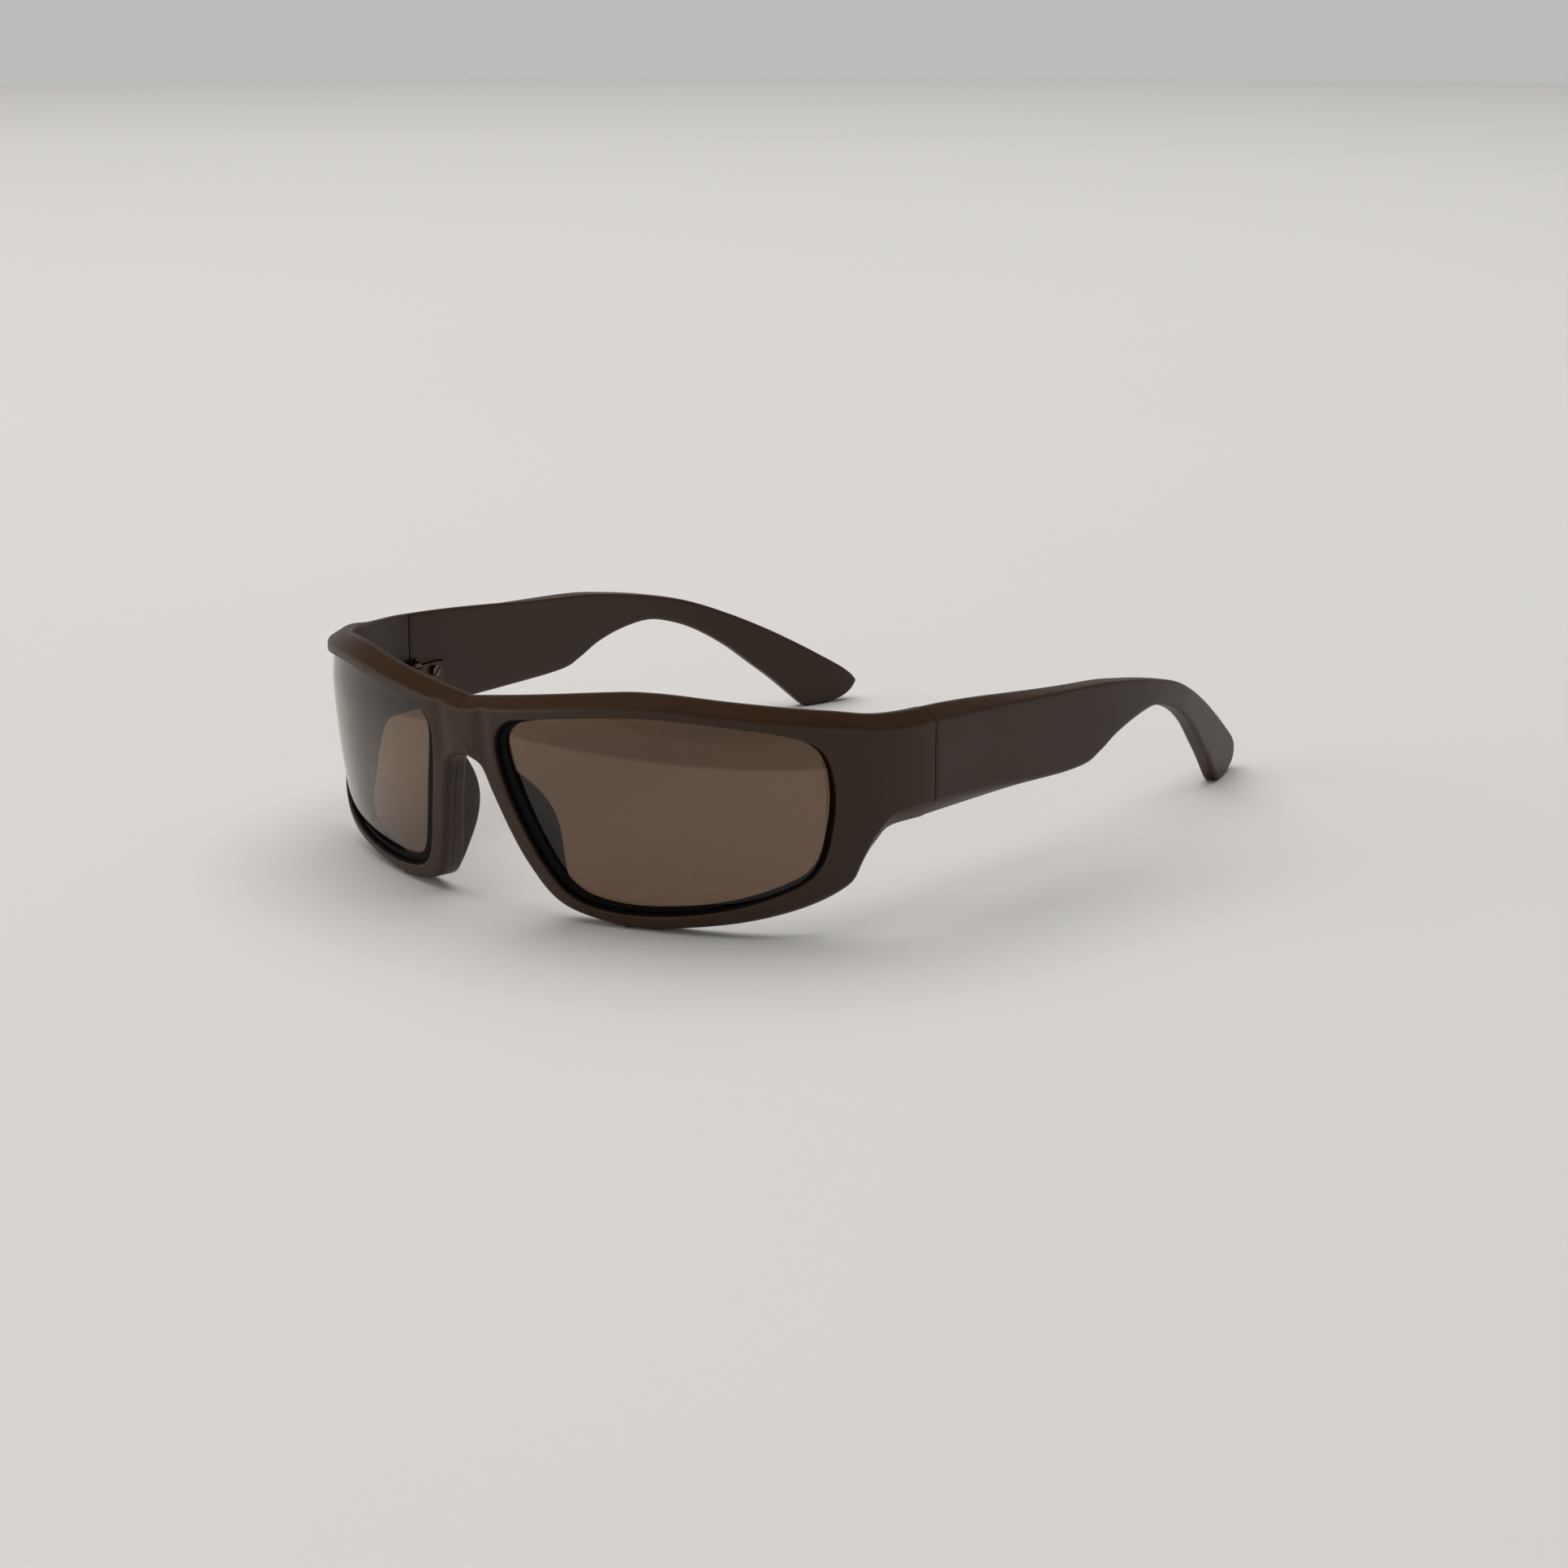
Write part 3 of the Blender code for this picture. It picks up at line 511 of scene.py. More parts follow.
def ramp_node(tree, value, low, high):
    """0 below low, 1 above high."""
    made = tree.nodes.new("ShaderNodeMapRange")
    made.interpolation_type = "SMOOTHSTEP"
    made.inputs["From Min"].default_value = low
    made.inputs["From Max"].default_value = high
    tree.links.new(value, made.inputs["Value"])
    return made.outputs["Result"]


def mix_colours(tree, share, first, second):
    made = tree.nodes.new("ShaderNodeMix")
    made.data_type = "RGBA"
    sockets = [s for s in made.inputs if s.type == "RGBA"]
    if isinstance(share, (int, float)):
        made.inputs["Factor"].default_value = share
    else:
        tree.links.new(share, made.inputs["Factor"])
    for socket, value in zip(sockets, (first, second)):
        if isinstance(value, tuple):
            socket.default_value = (*value, 1)
        else:
            tree.links.new(value, socket)
    return [s for s in made.outputs if s.type == "RGBA"][0]


def make_moulding_group():
    """Fine mould texture, cloudy gloss and faint handling marks of moulded or rubbery plastic."""
    group, given, result = node_group(
        "moulded_surface",
        [("Grain", "NodeSocketFloat", 6000.0), ("Grain Depth", "NodeSocketFloat", 0.3),
         ("Roughness", "NodeSocketFloat", 0.4), ("Cloud", "NodeSocketFloat", 0.05),
         ("Colour", "NodeSocketColor", (0.05, 0.03, 0.02, 1)),
         ("Dark Colour", "NodeSocketColor", (0.03, 0.02, 0.015, 1))],
        [("Base Colour", "NodeSocketColor"), ("Roughness", "NodeSocketFloat"), ("Height", "NodeSocketFloat")])
    place = object_place(group)
    grain = noise_node(group, place, given.outputs["Grain"], 2.0)
    cloud = noise_node(group, place, 90.0, 4.0)
    marks = ramp_node(group, noise_node(group, place, 420.0, 6.0, 0.7), 0.66, 0.74)
    uneven = math_node(group, "SUBTRACT", cloud, 0.5)
    swing = math_node(group, "MULTIPLY", uneven, given.outputs["Cloud"])
    worn = math_node(group, "MULTIPLY", marks, given.outputs["Cloud"])
    rough = math_node(group, "ADD", given.outputs["Roughness"], math_node(group, "MULTIPLY", swing, 4.0))
    rough = math_node(group, "ADD", rough, worn)
    colour = mix_colours(group, cloud, given.outputs["Dark Colour"], given.outputs["Colour"])
    height = math_node(group, "MULTIPLY", grain, given.outputs["Grain Depth"])
    group.links.new(colour, result.inputs["Base Colour"])
    group.links.new(rough, result.inputs["Roughness"])
    group.links.new(height, result.inputs["Height"])
    return group


def make_turned_group():
    """Fine turning or drawing lines and small scuffs of bare metal."""
    group, given, result = node_group(
        "worked_metal",
        [("Lines", "NodeSocketFloat", 9000.0), ("Stretch", "NodeSocketVector", (1, 1, 1)),
         ("Roughness", "NodeSocketFloat", 0.3), ("Scuffs", "NodeSocketFloat", 0.2)],
        [("Roughness", "NodeSocketFloat"), ("Height", "NodeSocketFloat"), ("Tarnish", "NodeSocketFloat")])
    place = object_place(group)
    scaled = group.nodes.new("ShaderNodeVectorMath")
    scaled.operation = "MULTIPLY"
    group.links.new(place, scaled.inputs[0])
    group.links.new(given.outputs["Stretch"], scaled.inputs[1])
    lines = noise_node(group, scaled.outputs[0], given.outputs["Lines"], 2.0)
    scuffs = ramp_node(group, noise_node(group, place, 700.0, 5.0, 0.7), 0.55, 0.7)
    tarnish = ramp_node(group, noise_node(group, place, 260.0, 4.0), 0.4, 0.75)
    marks = math_node(group, "MULTIPLY", scuffs, given.outputs["Scuffs"])
    rough = math_node(group, "ADD", given.outputs["Roughness"], marks)
    group.links.new(rough, result.inputs["Roughness"])
    group.links.new(lines, result.inputs["Height"])
    group.links.new(tarnish, result.inputs["Tarnish"])
    return group


def new_material(name):
    made = bpy.data.materials.new(name)
    made.use_nodes = True
    return made, made.node_tree, made.node_tree.nodes["Principled BSDF"]


def add_bump(tree, shader, height, strength, distance):
    bump = tree.nodes.new("ShaderNodeBump")
    bump.inputs["Strength"].default_value = strength
    bump.inputs["Distance"].default_value = distance
    tree.links.new(height, bump.inputs["Height"])
    tree.links.new(bump.outputs["Normal"], shader.inputs["Normal"])


def moulded(name, colour, dark, roughness, grain, depth, cloud, specular=0.5, sheen=0.0):
    made, tree, shader = new_material(name)
    surface = tree.nodes.new("ShaderNodeGroup")
    surface.node_tree = MOULDING
    surface.inputs["Grain"].default_value = grain
    surface.inputs["Grain Depth"].default_value = depth
    surface.inputs["Roughness"].default_value = roughness
    surface.inputs["Cloud"].default_value = cloud
    surface.inputs["Colour"].default_value = (*colour, 1)
    surface.inputs["Dark Colour"].default_value = (*dark, 1)
    tree.links.new(surface.outputs["Base Colour"], shader.inputs["Base Color"])
    tree.links.new(surface.outputs["Roughness"], shader.inputs["Roughness"])
    shader.inputs["Specular IOR Level"].default_value = specular
    shader.inputs["Sheen Weight"].default_value = sheen
    add_bump(tree, shader, surface.outputs["Height"], 0.35, 0.02 * MM)
    return made


def metal(name, colour, tarnished, roughness, stretch, lines, scuffs):
    made, tree, shader = new_material(name)
    surface = tree.nodes.new("ShaderNodeGroup")
    surface.node_tree = WORKED_METAL
    surface.inputs["Lines"].default_value = lines
    surface.inputs["Stretch"].default_value = stretch
    surface.inputs["Roughness"].default_value = roughness
    surface.inputs["Scuffs"].default_value = scuffs
    shader.inputs["Metallic"].default_value = 1.0
    colours = mix_colours(tree, surface.outputs["Tarnish"], colour, tarnished)
    tree.links.new(colours, shader.inputs["Base Color"])
    tree.links.new(surface.outputs["Roughness"], shader.inputs["Roughness"])
    add_bump(tree, shader, surface.outputs["Height"], 0.3, 0.01 * MM)
    return made


def tinted_lens(name):
    """Polished brown lens with a darker band of painted shade along its top, where the brow darkens it, and
    hair-fine wiping marks.
    """
    made, tree, shader = new_material(name)
    place = object_place(tree)
    split = tree.nodes.new("ShaderNodeSeparateXYZ")
    tree.links.new(place, split.inputs[0])
    sideways = math_node(tree, "MULTIPLY", math_node(tree, "ABSOLUTE", split.outputs["X"], 0.0), PAINTED_SHADE_SLOPE)
    height = math_node(tree, "ADD", split.outputs["Z"], sideways)
    # painted shade: above this height, which rises towards the sides, the lens takes a darker colour
    painted_shade = ramp_node(tree, height, PAINTED_SHADE_HEIGHT - 0.4 * MM, PAINTED_SHADE_HEIGHT + 0.4 * MM)
    colour = mix_colours(tree, painted_shade, LENS_TINT, LENS_PAINTED_SHADE)
    tree.links.new(colour, shader.inputs["Base Color"])
    wipes = ramp_node(tree, noise_node(tree, place, 240.0, 8.0, 0.75), 0.6, 0.85)
    rough = math_node(tree, "ADD", math_node(tree, "MULTIPLY", wipes, 0.010), 0.008)
    tree.links.new(rough, shader.inputs["Roughness"])
    shader.inputs["Transmission Weight"].default_value = 1.0
    shader.inputs["IOR"].default_value = 1.45
    shader.inputs["Specular IOR Level"].default_value = 0.28
    return made


LENS_TINT = (0.158, 0.099, 0.063)
# darker lens colour along the top: painted shade cast by the brow over the lens
LENS_PAINTED_SHADE = (0.094, 0.053, 0.030)
PAINTED_SHADE_HEIGHT = 34.5 * MM
PAINTED_SHADE_SLOPE = 0.07
MOULDING = make_moulding_group()
WORKED_METAL = make_turned_group()
BROWN = moulded("brown_moulding", (0.039, 0.0190, 0.0080), (0.031, 0.0145, 0.0058), 0.46, 5200.0, 0.6, 0.03, 0.32)
PAD_BROWN = moulded("soft_pad", (0.028, 0.0145, 0.008), (0.022, 0.0115, 0.006), 0.50, 2600.0, 1.0, 0.05, 0.15)
# Black of the gasket: partly the rubber's own colour, partly painted shade for the groove between rim and lens.
BLACK_RUBBER_AND_SHADE = moulded("gasket_black_and_shade", (0.003, 0.003, 0.003), (0.0015, 0.0015, 0.0015), 0.6, 3000.0, 0.8, 0.05,
                       0.08)
LENS_BROWN = tinted_lens("smoked_brown_lens")
LEAF_STEEL = metal("bronzed_steel", (0.085, 0.060, 0.045), (0.060, 0.042, 0.032), 0.42, (1, 1, 0.06), 5200.0, 0.18)
SCREW_STEEL = metal("bronzed_screw", (0.13, 0.10, 0.08), (0.09, 0.07, 0.055), 0.34, (0.1, 0.1, 1), 7000.0, 0.15)
WIRE_STEEL = metal("drawn_steel", (0.50, 0.50, 0.49), (0.36, 0.35, 0.33), 0.36, (1, 0.05, 1), 6000.0, 0.2)


# ---------------------------------------------------------------- the moulded front

def steps_between(first, last, points, spacing):
    """Places from one control point to the next, spaced along the line, without the last."""
    length = (points[last] - points[first]).length
    count = max(2, round(length / spacing))
    return [first + (last - first) * i / count for i in range(count)]


def front_ring():
    """Ring places: each has its outer point, the way inwards from it, its opening place and its kind."""
    spacing = 0.8 * MM
    ring = []

    def walk(points, faces, order, kind):
        for a, b in zip(order[:-1], order[1:]):
            for place in steps_between(a, b, points, spacing):
                share = (place - a) / (b - a)
                ring.append((points, place, faces[a] + (faces[b] - faces[a]) * share, kind))

    walk(TOP_LINE, TOP_FACES, range(len(TOP_LINE)), "top")
    seam_line = [TOP_LINE[-1], UNDER_LINE[-1]]
    walk(seam_line, (TOP_FACES[-1], UNDER_FACES[-1]), range(2), "seam")
    walk(UNDER_LINE, UNDER_FACES, range(len(UNDER_LINE) - 1, -1, -1), "under")
    foot_line = [NASAL_LINE[-1], UNDER_LINE[0]]
    walk(foot_line, (NASAL_FACES[-1], UNDER_FACES[0]), (1, 0), "under")
    walk(NASAL_LINE, NASAL_FACES, range(len(NASAL_LINE) - 1, -1, -1), "nasal")
    centre_line = [NASAL_LINE[0], TOP_LINE[0]]
    walk(centre_line, (NASAL_FACES[0], LENS_COUNT + TOP_FACES[0]), range(2), "centre")
    return ring


# How far the lip stands back from the opening's edge, at the outline's control points
LIP_WIDENS = (0.7, 0.35, 0.05, 0, 0, 0, 0, 0.1, 0.1, 0.1, 0.15, 0.3, 0.4, 0.45, 0.6, 0.95, 1.15, 1.0)


def lip_at(place):
    table = LIP_WIDENS + LIP_WIDENS[:1]
    return float(np.interp(place % LENS_COUNT, range(LENS_COUNT + 1), table)) * MM


EDGE_RADIUS = {"top": 0.55 * MM, "seam": 0.2 * MM, "under": 1.9 * MM, "nasal": 1.1 * MM, "centre": 0.0}
BACK_RADIUS = {"top": 0.6 * MM, "seam": 0.2 * MM, "under": 0.9 * MM, "nasal": 0.6 * MM, "centre": 0.0}


def inset_outline(ring, radii, share):
    """The ring's outer points moved inwards by a share of their own radius."""
    moved = []
    for (points, place, _, kind), radius in zip(ring, radii):
        point = curve_at(points, place)
        inset = radius * share
        if kind == "seam":
            low = WALL_BOTTOM + inset
            high = WALL_TOP - inset
            moved.append(Vector((WALL_END - inset, high + (low - high) * place)))
        elif kind == "centre":
            low = BRIDGE_UNDER + RADIUS_UNDER_BRIDGE * share
            high = BRIDGE_TOP - EDGE_RADIUS["top"] * share
            moved.append(Vector((0, low + (high - low) * place)))
        else:
            last = len(points) - 1
            along = curve_at(points, min(place + 0.03, last)) - curve_at(points, max(place - 0.03, 0))
            along.normalize()
            inwards = Vector((along.y, -along.x)) if kind == "top" else Vector((-along.y, along.x))
            moved.append(point + inwards * inset)
            moved[-1].x = min(max(moved[-1].x, 0), WALL_END - EDGE_RADIUS["seam"] * share)
    if ring[0][3] == "top":
        moved[0].x = 0
    return moved


RADIUS_UNDER_BRIDGE = EDGE_RADIUS["nasal"]
SEAM_EASE = {"under": 0.5}  # how much of the way an edge radius goes towards the seam's own


def ring_radii(ring, radius):
    """Each ring place's edge radius, eased along the outline towards the seam."""
    radii = []
    for points, place, _, kind in ring:
        near = smooth_step((curve_at(points, place).x - (WALL_END - 14 * MM)) / (14 * MM))
        at_seam = radius[kind] + (radius["seam"] - radius[kind]) * SEAM_EASE.get(kind, 1.0)
        radii.append(radius[kind] + (at_seam - radius[kind]) * near if kind != "centre" else 0.0)
    return radii


def level(points, depth):
    """Flat points at a depth, or each at its own depth."""
    depths = depth if isinstance(depth, list) else [depth] * len(points)
    return [(p.x, d, p.y) for p, d in zip(points, depths)]


def between(first, second, share):
    return [a + (b - a) * share for a, b in zip(first, second)]


def bridge_relief(flat):
    """Two soft upright creases beside the bridge, and a low rounded lip round the nose arch."""
    u, t, z = flat
    front = max(1 - t / (2.5 * MM), 0)
    crease = math.exp(-((abs(u) - 5.0 * MM) / (1.5 * MM)) ** 2) * smooth_step((z - 26 * MM) / (5 * MM))
    arch = math.hypot(u, (z - BRIDGE_UNDER + 1.0 * MM) * 0.8)
    lip = math.exp(-((arch - 2.2 * MM) / (1.0 * MM)) ** 2) if z > 26 * MM else 0.0
    return u, t + front * (0.45 * MM * crease - 0.30 * MM * lip), z


def make_front():
    ring = front_ring()
    opening = [opening_at(r[2]) for r in ring]
    edge = ring_radii(ring, EDGE_RADIUS)
    back_edge = ring_radii(ring, BACK_RADIUS)
    inner = 0.45 * MM

    def wall(outwards, depth):
        return level([opening_at(r[2], outwards) for r in ring], depth)

    def lip(outwards, depth):
        return level([opening_at(r[2], outwards + lip_at(r[2])) for r in ring], depth)

    rings = [wall(0.5 * MM, FRONT_THICKNESS), wall(0.14 * MM, FRONT_THICKNESS - 0.14 * MM),
             wall(0, FRONT_THICKNESS - 0.5 * MM), wall(0, GROOVE_TO), wall(GROOVE_DEPTH, GROOVE_TO),
             wall(GROOVE_DEPTH, LIP), lip(0, LIP)]
    for i in range(5):
        turn = math.pi / 2 * i / 4
        rings.append(lip(inner * (1 - math.cos(turn)), inner * (1 - math.sin(turn))))
    face_in = [opening_at(r[2], inner + lip_at(r[2])) for r in ring]
    face_out = inset_outline(ring, edge, 1)
    for i in range(1, 20):
        rings.append(level(between(face_in, face_out, (1 - math.cos(math.pi * i / 20)) / 2), 0))
    for i in range(6):
        turn = math.pi / 2 * i / 5
        outline = inset_outline(ring, edge, 1 - math.sin(turn))
        rings.append(level(outline, [r * (1 - math.cos(turn)) for r in edge]))
    outline = inset_outline(ring, edge, 0)
    for depth in (1.6, 2.2, 2.7, 2.85, 3.0, 3.15, 3.3, 3.55):
        rings.append(level(outline, depth * MM))
    for i in range(5):
        turn = math.pi / 2 * i / 4
        outline = inset_outline(ring, back_edge, 1 - math.cos(turn))
        rings.append(level(outline, [FRONT_THICKNESS - r * (1 - math.sin(turn)) for r in back_edge]))
    back_out = inset_outline(ring, back_edge, 1)
    back_in = [p + (opening_at(r[2], 0.5 * MM) - p) for p, r in zip(opening, ring)]
    for i in range(1, 14):
        rings.append(level(between(back_out, back_in, (1 - math.cos(math.pi * i / 14)) / 2), FRONT_THICKNESS))
    half = loft("front_moulding", rings, closed=True)
    open_centre(half)
    apply_modifier(half, "MIRROR", use_axis=(True, False, False), use_clip=True, merge_threshold=0.01 * MM)
    tidied(half)
    seats = [pad_body("pad_seat", PAD_SEAT_GAP)]
    seats.append(other_side(seats[0], "pad_seat_right"))
    cut_away(half, seats)
    shaped(half, lambda flat: wrap_front(bridge_relief(flat)))
    spaces = hinge_space(-1)
    spaces += [other_side(space, space.name + "_right") for space in spaces]
    cut_away(half, spaces)
    return finish_piece(tidied(half), "front", BROWN, ["front_frame"])


def open_centre(piece):
    """Deletes the faces that lie on the centre plane."""
    take_only(piece)
    bpy.ops.object.mode_set(mode="EDIT")
    bpy.ops.mesh.select_all(action="DESELECT")
    mesh = bmesh.from_edit_mesh(piece.data)
    for face in mesh.faces:
        face.select_set(all(abs(v.co.x) < 0.001 * MM for v in face.verts))
    bmesh.update_edit_mesh(piece.data)
    bpy.ops.mesh.delete(type="FACE")
    bpy.ops.object.mode_set(mode="OBJECT")


# ---------------------------------------------------------------- hinge spaces

def hinge_space(way):
    """What the left hinge takes out of a wall: its leaf's pocket, the barrel's notch and the bores."""
    outer = AXIS.x + LEAF_OUTER
    inside = AXIS.x + LEAF_OUTER - 3 * KNUCKLE_RADIUS
    near, far = sorted((AXIS.y - way * KNUCKLE_RADIUS, AXIS.y + way * (LEAF_LENGTH + HINGE_GAP)))
    low, high = AXIS.z - BARREL_HALF - HINGE_GAP, AXIS.z + BARREL_HALF + HINGE_GAP
    notch_radius = KNUCKLE_RADIUS + 0.4 * MM
    spaces = [block("hinge_pocket", (inside, near, low), (outer + HINGE_GAP, far, high)),
              rod("barrel_notch", notch_radius, (AXIS.x, AXIS.y, low), (AXIS.x, AXIS.y, high + PIN_ROOM))]
    for height in (-LEAF_SCREW_SPREAD, LEAF_SCREW_SPREAD):
        y = AXIS.y + way * LEAF_SCREW_AT
        spaces.append(rod("leaf_bore", 0.75 * MM, (outer - 1 * MM, y, AXIS.z + height),
                          (outer + 2.2 * MM, y, AXIS.z + height), (0, math.pi / 2, 0)))
    return spaces


# ---------------------------------------------------------------- lenses and gaskets

def lens_flat(u, z):
    """A lens point on the flat drawing: close to the rim's face outside, deeper towards the nose."""
    across = min(abs((u - LENS_FROM) / LENS_WIDTH * 2 - 1), 1)
    up = min(abs((z - LENS_LOW) / LENS_HEIGHT * 2 - 1), 1)
    share = min(max((u - LENS_FROM) / LENS_WIDTH, 0), 1)
    bulge = LENS_BULGE * (0.25 + 0.75 * smooth_step(share * 1.3)) * (1 - across ** 6) * (1 - up ** 6)
    return u, LENS_FRONT - bulge, z


def make_lens():
    """The left lens: a grid pushed out to the opening's outline, crowned and given its thickness."""
    bpy.ops.object.select_all(action="DESELECT")
    bpy.ops.mesh.primitive_grid_add(x_subdivisions=72, y_subdivisions=48, size=2)
    piece = added("lens_left_tinted")
    middle = Vector((LENS_FROM + 0.52 * LENS_WIDTH, LENS_LOW + 0.52 * LENS_HEIGHT))
    angles, reaches = [], []
    for i in range(720):
        arm = opening_at(LENS_COUNT * i / 720, GROOVE_REACH) - middle
        angles.append(math.atan2(arm.y, arm.x))
        reaches.append(arm.length)
    order = np.argsort(angles)
    angles, reaches = np.array(angles)[order], np.array(reaches)[order]
    for vertex in piece.data.vertices:
        a, b = vertex.co.x, vertex.co.y
        x, y = a * math.sqrt(1 - b * b / 2), b * math.sqrt(1 - a * a / 2)
        angle = math.atan2(y, x)
        reach = np.interp(angle, angles, reaches, period=2 * math.pi) * math.hypot(x, y)
        point = middle + Vector((math.cos(angle), math.sin(angle))) * float(reach)
        vertex.co = wrap_front(lens_flat(point.x, point.y))
    bpy.ops.object.mode_set(mode="EDIT")
    bpy.ops.mesh.select_all(action="SELECT")
    bpy.ops.mesh.normals_make_consistent(inside=False)
    bpy.ops.object.mode_set(mode="OBJECT")
    centre = piece.data.polygons[len(piece.data.polygons) // 2]
    if centre.normal.y > 0:
        piece.data.flip_normals()
    apply_modifier(piece, "SOLIDIFY", thickness=LENS_THICKNESS, offset=-1, use_even_offset=True)
    return piece


def make_lenses():
    left = make_lens()
    right = other_side(left, "lens_right_tinted")
    for piece, side in ((left, "left"), (right, "right")):
        finish_piece(piece, "front", LENS_BROWN, [f"lens_{side}"], 40)


# How far the gasket shows inside the opening's edge, at the outline's control points. Its black band is partly the
# rubber's own and partly painted shade for the groove between rim and lens
GASKET_AND_SHADE_SHOWS = (1.2, 0.9, 0.4, 0.12, 0.12, 0.12, 0.12, 0.25, 0.35, 0.4, 0.6, 0.9, 1.1, 1.2, 1.3, 1.4, 1.5, 1.5)
LINING_HEIGHT = 0.62 * MM  # of the gasket's collar, forwards along the opening's wall
LINING_THICKNESS = 0.4 * MM


def gasket_section(inside, widen):
    """One section: distances outwards from the opening's edge, and depths. The collar fades at the top."""
    soft = min(0.18 * MM, inside * 0.4)
    rise = LINING_HEIGHT * smooth_step((inside - 0.15 * MM) / (0.4 * MM))
    thick = min(LINING_THICKNESS, inside * 0.7)
    clear = 0.02 * MM
    collar = ((0, 0), (0, 0.85), (0.15, 1), (0.75, 1), (0.95, 0.85), (1, 0.3), (1.1, 0))
    section = [(GROOVE_REACH, GASKET_TO), (GROOVE_REACH, GASKET_FROM)]
    section += [(widen - clear - thick * across, GASKET_FROM - rise * up) for across, up in collar]
    section += [(soft - inside, GASKET_FROM), (0.3 * soft - inside, GASKET_FROM + 0.3 * soft),
                (-inside, GASKET_FROM + soft), (-inside, GASKET_TO - soft),
                (0.3 * soft - inside, GASKET_TO - 0.3 * soft), (soft - inside, GASKET_TO),
                ((GROOVE_REACH - inside) / 2, GASKET_TO)]
    return section


def make_gaskets():
    """A rubber ring round each lens, with a collar on the opening's wall, widest on the nasal side. Its black is
    partly the rubber's own colour and partly painted shade for the groove between rim and lens.
    """
    count = 300
    places = [LENS_COUNT * i / count for i in range(count)]
    sections = []
    for place in places:
        shown = float(np.interp(place, range(LENS_COUNT + 1), GASKET_AND_SHADE_SHOWS + GASKET_AND_SHADE_SHOWS[:1]))
        sections.append(gasket_section(shown * MM, lip_at(place)))
    rings = []
    for k in range(len(sections[0])):
        points = [opening_at(place, section[k][0]) for place, section in zip(places, sections)]
        rings.append(level(points, [section[k][1] for section in sections]))
    left = shaped(loft("gasket_left_ring", rings, closed=True), wrap_front)
    right = other_side(left, "gasket_right_ring")
    for piece, side in ((left, "left"), (right, "right")):
        finish_piece(piece, "front", BLACK_RUBBER_AND_SHADE, [f"lens_gasket_{side}"])


# ---------------------------------------------------------------- nose pads

PAD_SEAT_GAP = 0.03 * MM


def pad_line():
    """Points of the nasal edge between the pad's ends, with the way into the rim at each."""
    line = []
    for i in range(400):
        place = (len(NASAL_LINE) - 1) * i / 399
        point = curve_at(NASAL_LINE, place)
        if PAD_LOW < point.y < PAD_HIGH:
            along = curve_at(NASAL_LINE, min(place + 0.05, 5)) - curve_at(NASAL_LINE, max(place - 0.05, 0))
            along.normalize()
            line.append((point, Vector((-along.y, along.x))))
    return line


def pad_body(name, grow=0.0):
    """The left nose pad on the flat drawing, or with a growth the seat that it leaves in the rim."""
    line = pad_line()
    count = 44
    rings = []
    for i in range(count + 1):
        f = i / count
        spread = f if grow else (1 - math.cos(math.pi * f)) / 2
        point, inwards = line[round(spread * (len(line) - 1))]
        share = (point.y - PAD_LOW) / (PAD_HIGH - PAD_LOW)
        depth = PAD_END_DEPTH + (PAD_DEPTH - PAD_END_DEPTH) * math.sin(math.pi * share ** PAD_PEAK)
        end = 1.0 if grow else min(1.0, math.sqrt(max(1 - (1 - min(f, 1 - f) / 0.06) ** 2, 0.02))
                                   if min(f, 1 - f) < 0.06 else 1.0)
        half_thick = PAD_THICKNESS / 2 * end + grow
        middle = PAD_THICKNESS / 2
        low, high = PAD_FROM - grow, PAD_FROM + depth * (0.75 + 0.25 * end)
        ring = []
        corner = min(half_thick * 0.95, 0.7 * MM) if not grow else 0.01 * MM
        for t, w in rounded_box(low, high, middle - half_thick, middle + half_thick, corner):
            slide = PAD_FLARE * max(t - PAD_FROM, 0)
            ring.append((point.x + inwards.x * w + slide, t, point.y + inwards.y * w))
        rings.append(ring)
    return loft(name, rings)


def rounded_box(a0, a1, b0, b1, radius, turns=5, along=4):
    """Points round a rectangle with rounded corners, the same number for any size."""
    points = []
    corners = (((a1 - radius, b1 - radius), 0), ((a0 + radius, b1 - radius), 90),
               ((a0 + radius, b0 + radius), 180), ((a1 - radius, b0 + radius), 270))
    ends = []
    for (a, b), start in corners:
        arc = []
        for i in range(turns):
            turn = math.radians(start + 90 * i / (turns - 1))
            arc.append((a + radius * math.cos(turn), b + radius * math.sin(turn)))
        ends.append(arc)
    for arc, following in zip(ends, ends[1:] + ends[:1]):
        points += arc
        (a, b), (c, d) = arc[-1], following[0]
        points += [(a + (c - a) * i / along, b + (d - b) * i / along) for i in range(1, along)]
    return points


def make_pads():
    left = shaped(pad_body("nose_pad_left_soft"), wrap_front)
    tidied(left)
    right = other_side(left, "nose_pad_right_soft")
    for piece, side in ((left, "left"), (right, "right")):
        finish_piece(piece, "front", PAD_BROWN, [f"nose_pad_{side}"])


# ---------------------------------------------------------------- temples

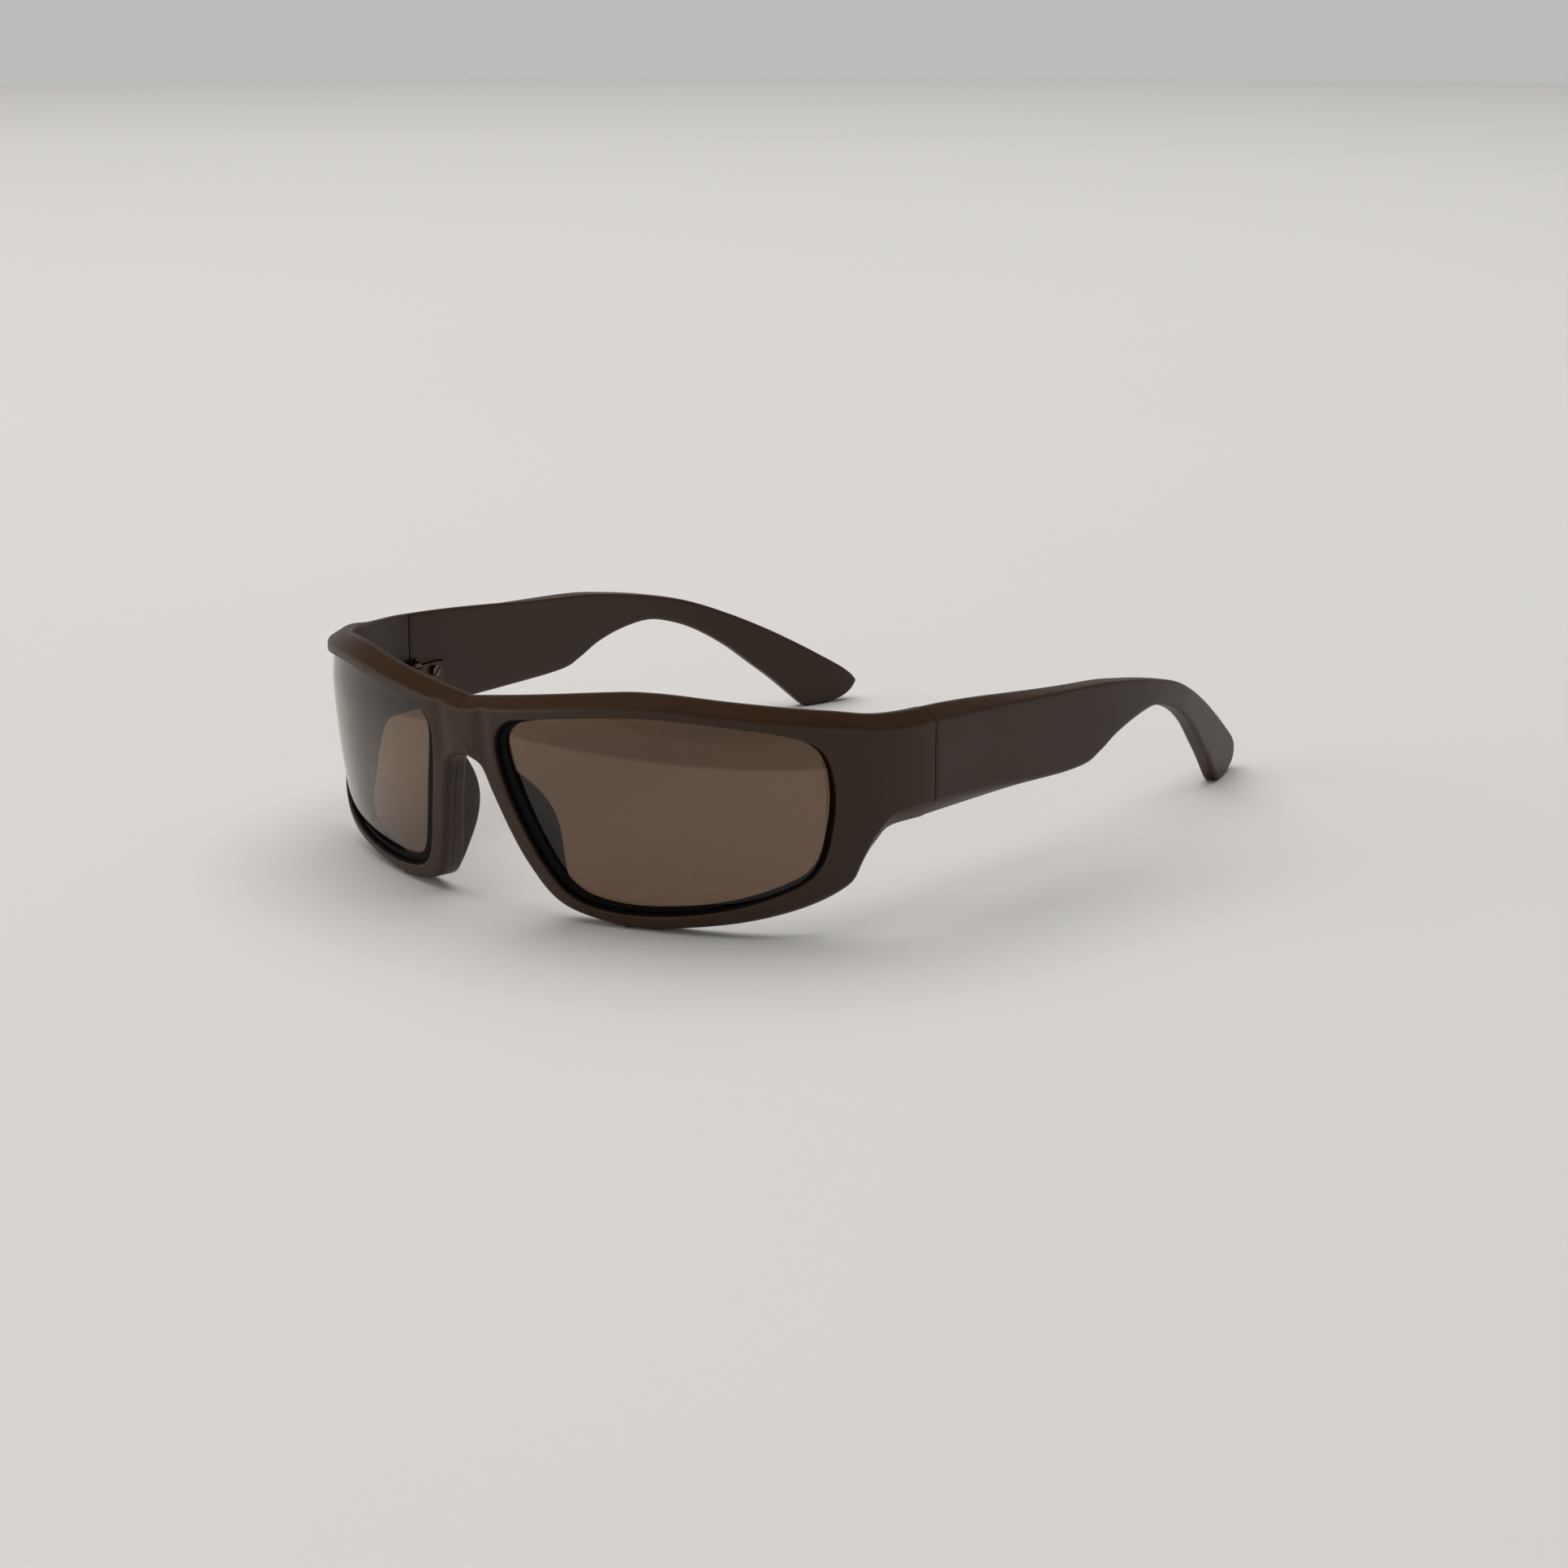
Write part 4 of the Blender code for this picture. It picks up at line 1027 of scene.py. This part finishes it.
def temple_section(s, inset, radius_share, pinch=0.0):
    """A temple's upright section on the flat drawing, with softened corners."""
    low = float(np.interp(s, *TEMPLE_BOTTOM)) + inset
    high = float(np.interp(s, *TEMPLE_TOP)) - inset
    outer, inner = inset + pinch, WALL_THICKNESS - inset - pinch
    half = max((high - low) / 2, 0.01 * MM)
    tip = smooth_step((s - CURL_FROM) / (40 * MM))
    radii = {
        "outer_top": 0.55 * MM + 0.6 * MM * tip, "inner_top": 0.6 * MM + 0.5 * MM * tip,
        "inner_low": 0.8 * MM + 0.3 * MM * tip, "outer_low": 1.1 * MM + 0.1 * MM * tip,
    }
    for key in radii:
        radii[key] = min(radii[key] * radius_share, half * 0.98, (inner - outer) * 0.49)
    points = []
    top_depths = (1.4, 2.0, 2.7, 2.85, 3.0, 3.15, 3.3)

    def arc(t, z, radius, start, steps=6):
        for i in range(steps):
            turn = math.radians(start - 90 * i / (steps - 1))
            points.append((s, t + radius * math.cos(turn), z + radius * math.sin(turn)))

    r = radii["outer_top"]
    arc(outer + r, high - r, r, 180)
    points.extend((s, min(max(d * MM, outer + r), inner - radii["inner_top"]), high) for d in top_depths)
    r = radii["inner_top"]
    arc(inner - r, high - r, r, 90)
    below, above = low + radii["inner_low"], high - r
    points.extend((s, inner, above + (below - above) * i / 10) for i in range(1, 10))
    r = radii["inner_low"]
    arc(inner - r, low + r, r, 0)
    points.extend((s, inner - r + (outer + radii["outer_low"] - inner + r) * i / 5, low) for i in range(1, 5))
    r = radii["outer_low"]
    arc(outer + r, low + r, r, -90)
    above = high - radii["outer_top"]
    points.extend((s, outer, low + r + (above - low - r) * i / 16) for i in range(1, 16))
    return points


def make_temples():
    start = SEAM_GAP / 2
    bevel = 0.2 * MM
    places = [(start, bevel, 0.5), (start + 0.06 * MM, 0.06 * MM, 0.8), (start + bevel, 0.0, 1.0)]
    end = TEMPLE_LENGTH - TIP_SHORT
    body = np.linspace(start + 1.2 * MM, end - TIP_ROUND, 150)
    places += [(float(s), 0.0, 1.0) for s in body]
    for i in range(1, 19):
        turn = math.pi / 2 * i / 18
        places.append((end - TIP_ROUND * (1 - math.sin(turn)) - 0.003 * MM, 0.0, 1.0,
                       TIP_PINCH * (1 - math.cos(turn))))
    rings = [temple_section(*place) for place in places]
    left = shaped(loft("temple_left_moulding", rings), wrap_temple)
    tidied(left)
    cut_away(left, hinge_space(1))
    tidied(left)
    right = other_side(left, "temple_right_moulding")
    for piece, side in ((left, "left"), (right, "right")):
        finish_piece(piece, f"temple_{side}", BROWN, [f"temple_{side}"])


# ---------------------------------------------------------------- hinges and wires, from the frame

def finish_frame_nodes():
    finishes = (("hinge_leaf", LEAF_STEEL), ("screw", SCREW_STEEL), ("core_wire", WIRE_STEEL))
    for name, node in frame["nodes"].items():
        for word, finish in finishes:
            if word in name:
                node.data.materials.clear()
                node.data.materials.append(finish)


# ---------------------------------------------------------------- setting, light and camera

def make_setting():
    """A plain pale floor under soft light from all round, weaker overhead."""
    bpy.ops.object.select_all(action="DESELECT")
    bpy.ops.mesh.primitive_circle_add(vertices=160, radius=FLOOR_RADIUS, fill_type="NGON",
                                      location=(0, 0, -0.02 * MM))
    floor = added("pale_floor")
    made, tree, shader = new_material("pale_floor_paint")
    cloud = noise_node(tree, object_place(tree), 3.0, 2.0)
    tree.links.new(mix_colours(tree, cloud, FLOOR_COLOUR, FLOOR_COLOUR_LIGHT), shader.inputs["Base Color"])
    shader.inputs["Roughness"].default_value = 0.85
    shader.inputs["Specular IOR Level"].default_value = 0.2
    floor.data.materials.append(made)
    world = bpy.data.worlds.new("studio")
    bpy.context.scene.world = world
    world.use_nodes = True
    tree = world.node_tree
    background = tree.nodes["Background"]
    split = tree.nodes.new("ShaderNodeSeparateXYZ")
    tree.links.new(tree.nodes.new("ShaderNodeTexCoord").outputs["Generated"], split.inputs[0])
    overhead = ramp_node(tree, split.outputs["Z"], 0.15, 0.65)
    tree.links.new(mix_colours(tree, overhead, WORLD_SIDE, WORLD_TOP), background.inputs["Color"])
    background.inputs["Strength"].default_value = WORLD_STRENGTH
    for name, place, size, power, colour, mirrored in STUDIO_LIGHTS:
        light = bpy.data.lights.new(name, "AREA")
        light.shape = "RECTANGLE"
        light.size, light.size_y = size
        light.energy = power
        light.color = colour
        lamp = bpy.data.objects.new(name, light)
        bpy.context.scene.collection.objects.link(lamp)
        lamp.location = place
        lamp.visible_glossy = mirrored
        lamp.rotation_mode = "QUATERNION"
        lamp.rotation_quaternion = (-Vector(place)).to_track_quat("-Z", "Y")


FLOOR_RADIUS = 2.62
FLOOR_COLOUR = (0.70, 0.685, 0.665)
FLOOR_COLOUR_LIGHT = (0.72, 0.705, 0.685)
WORLD_SIDE = (1.0, 1.0, 1.0)
WORLD_TOP = (0.02, 0.02, 0.02)
WORLD_STRENGTH = 0.5
STUDIO_LIGHTS = (
    ("overhead_softbox", (-0.6, 0.3, 2.6), (4.4, 4.4), 114.0, (1.0, 0.99, 0.98), False),
    ("front_softbox", (-1.0, -1.4, 0.6), (1.3, 0.9), 7.0, (1.0, 0.98, 0.96), True),
)


def make_camera():
    data = bpy.data.cameras.new("camera")
    data.sensor_width = 36
    data.lens = 78.26
    data.clip_start, data.clip_end = 0.01, 50
    camera = bpy.data.objects.new("camera", data)
    bpy.context.scene.collection.objects.link(camera)
    camera.location = (0.40268, -0.50331, 0.17623)
    azimuth, elevation = math.radians(38.55), math.radians(14.79)
    camera.rotation_euler = (math.pi / 2 - elevation, 0, azimuth)
    bpy.context.scene.camera = camera
    bpy.context.scene.view_settings.view_transform = "Standard"


make_setting()
make_camera()
make_front()
make_lenses()
make_gaskets()
make_pads()
make_temples()
finish_frame_nodes()
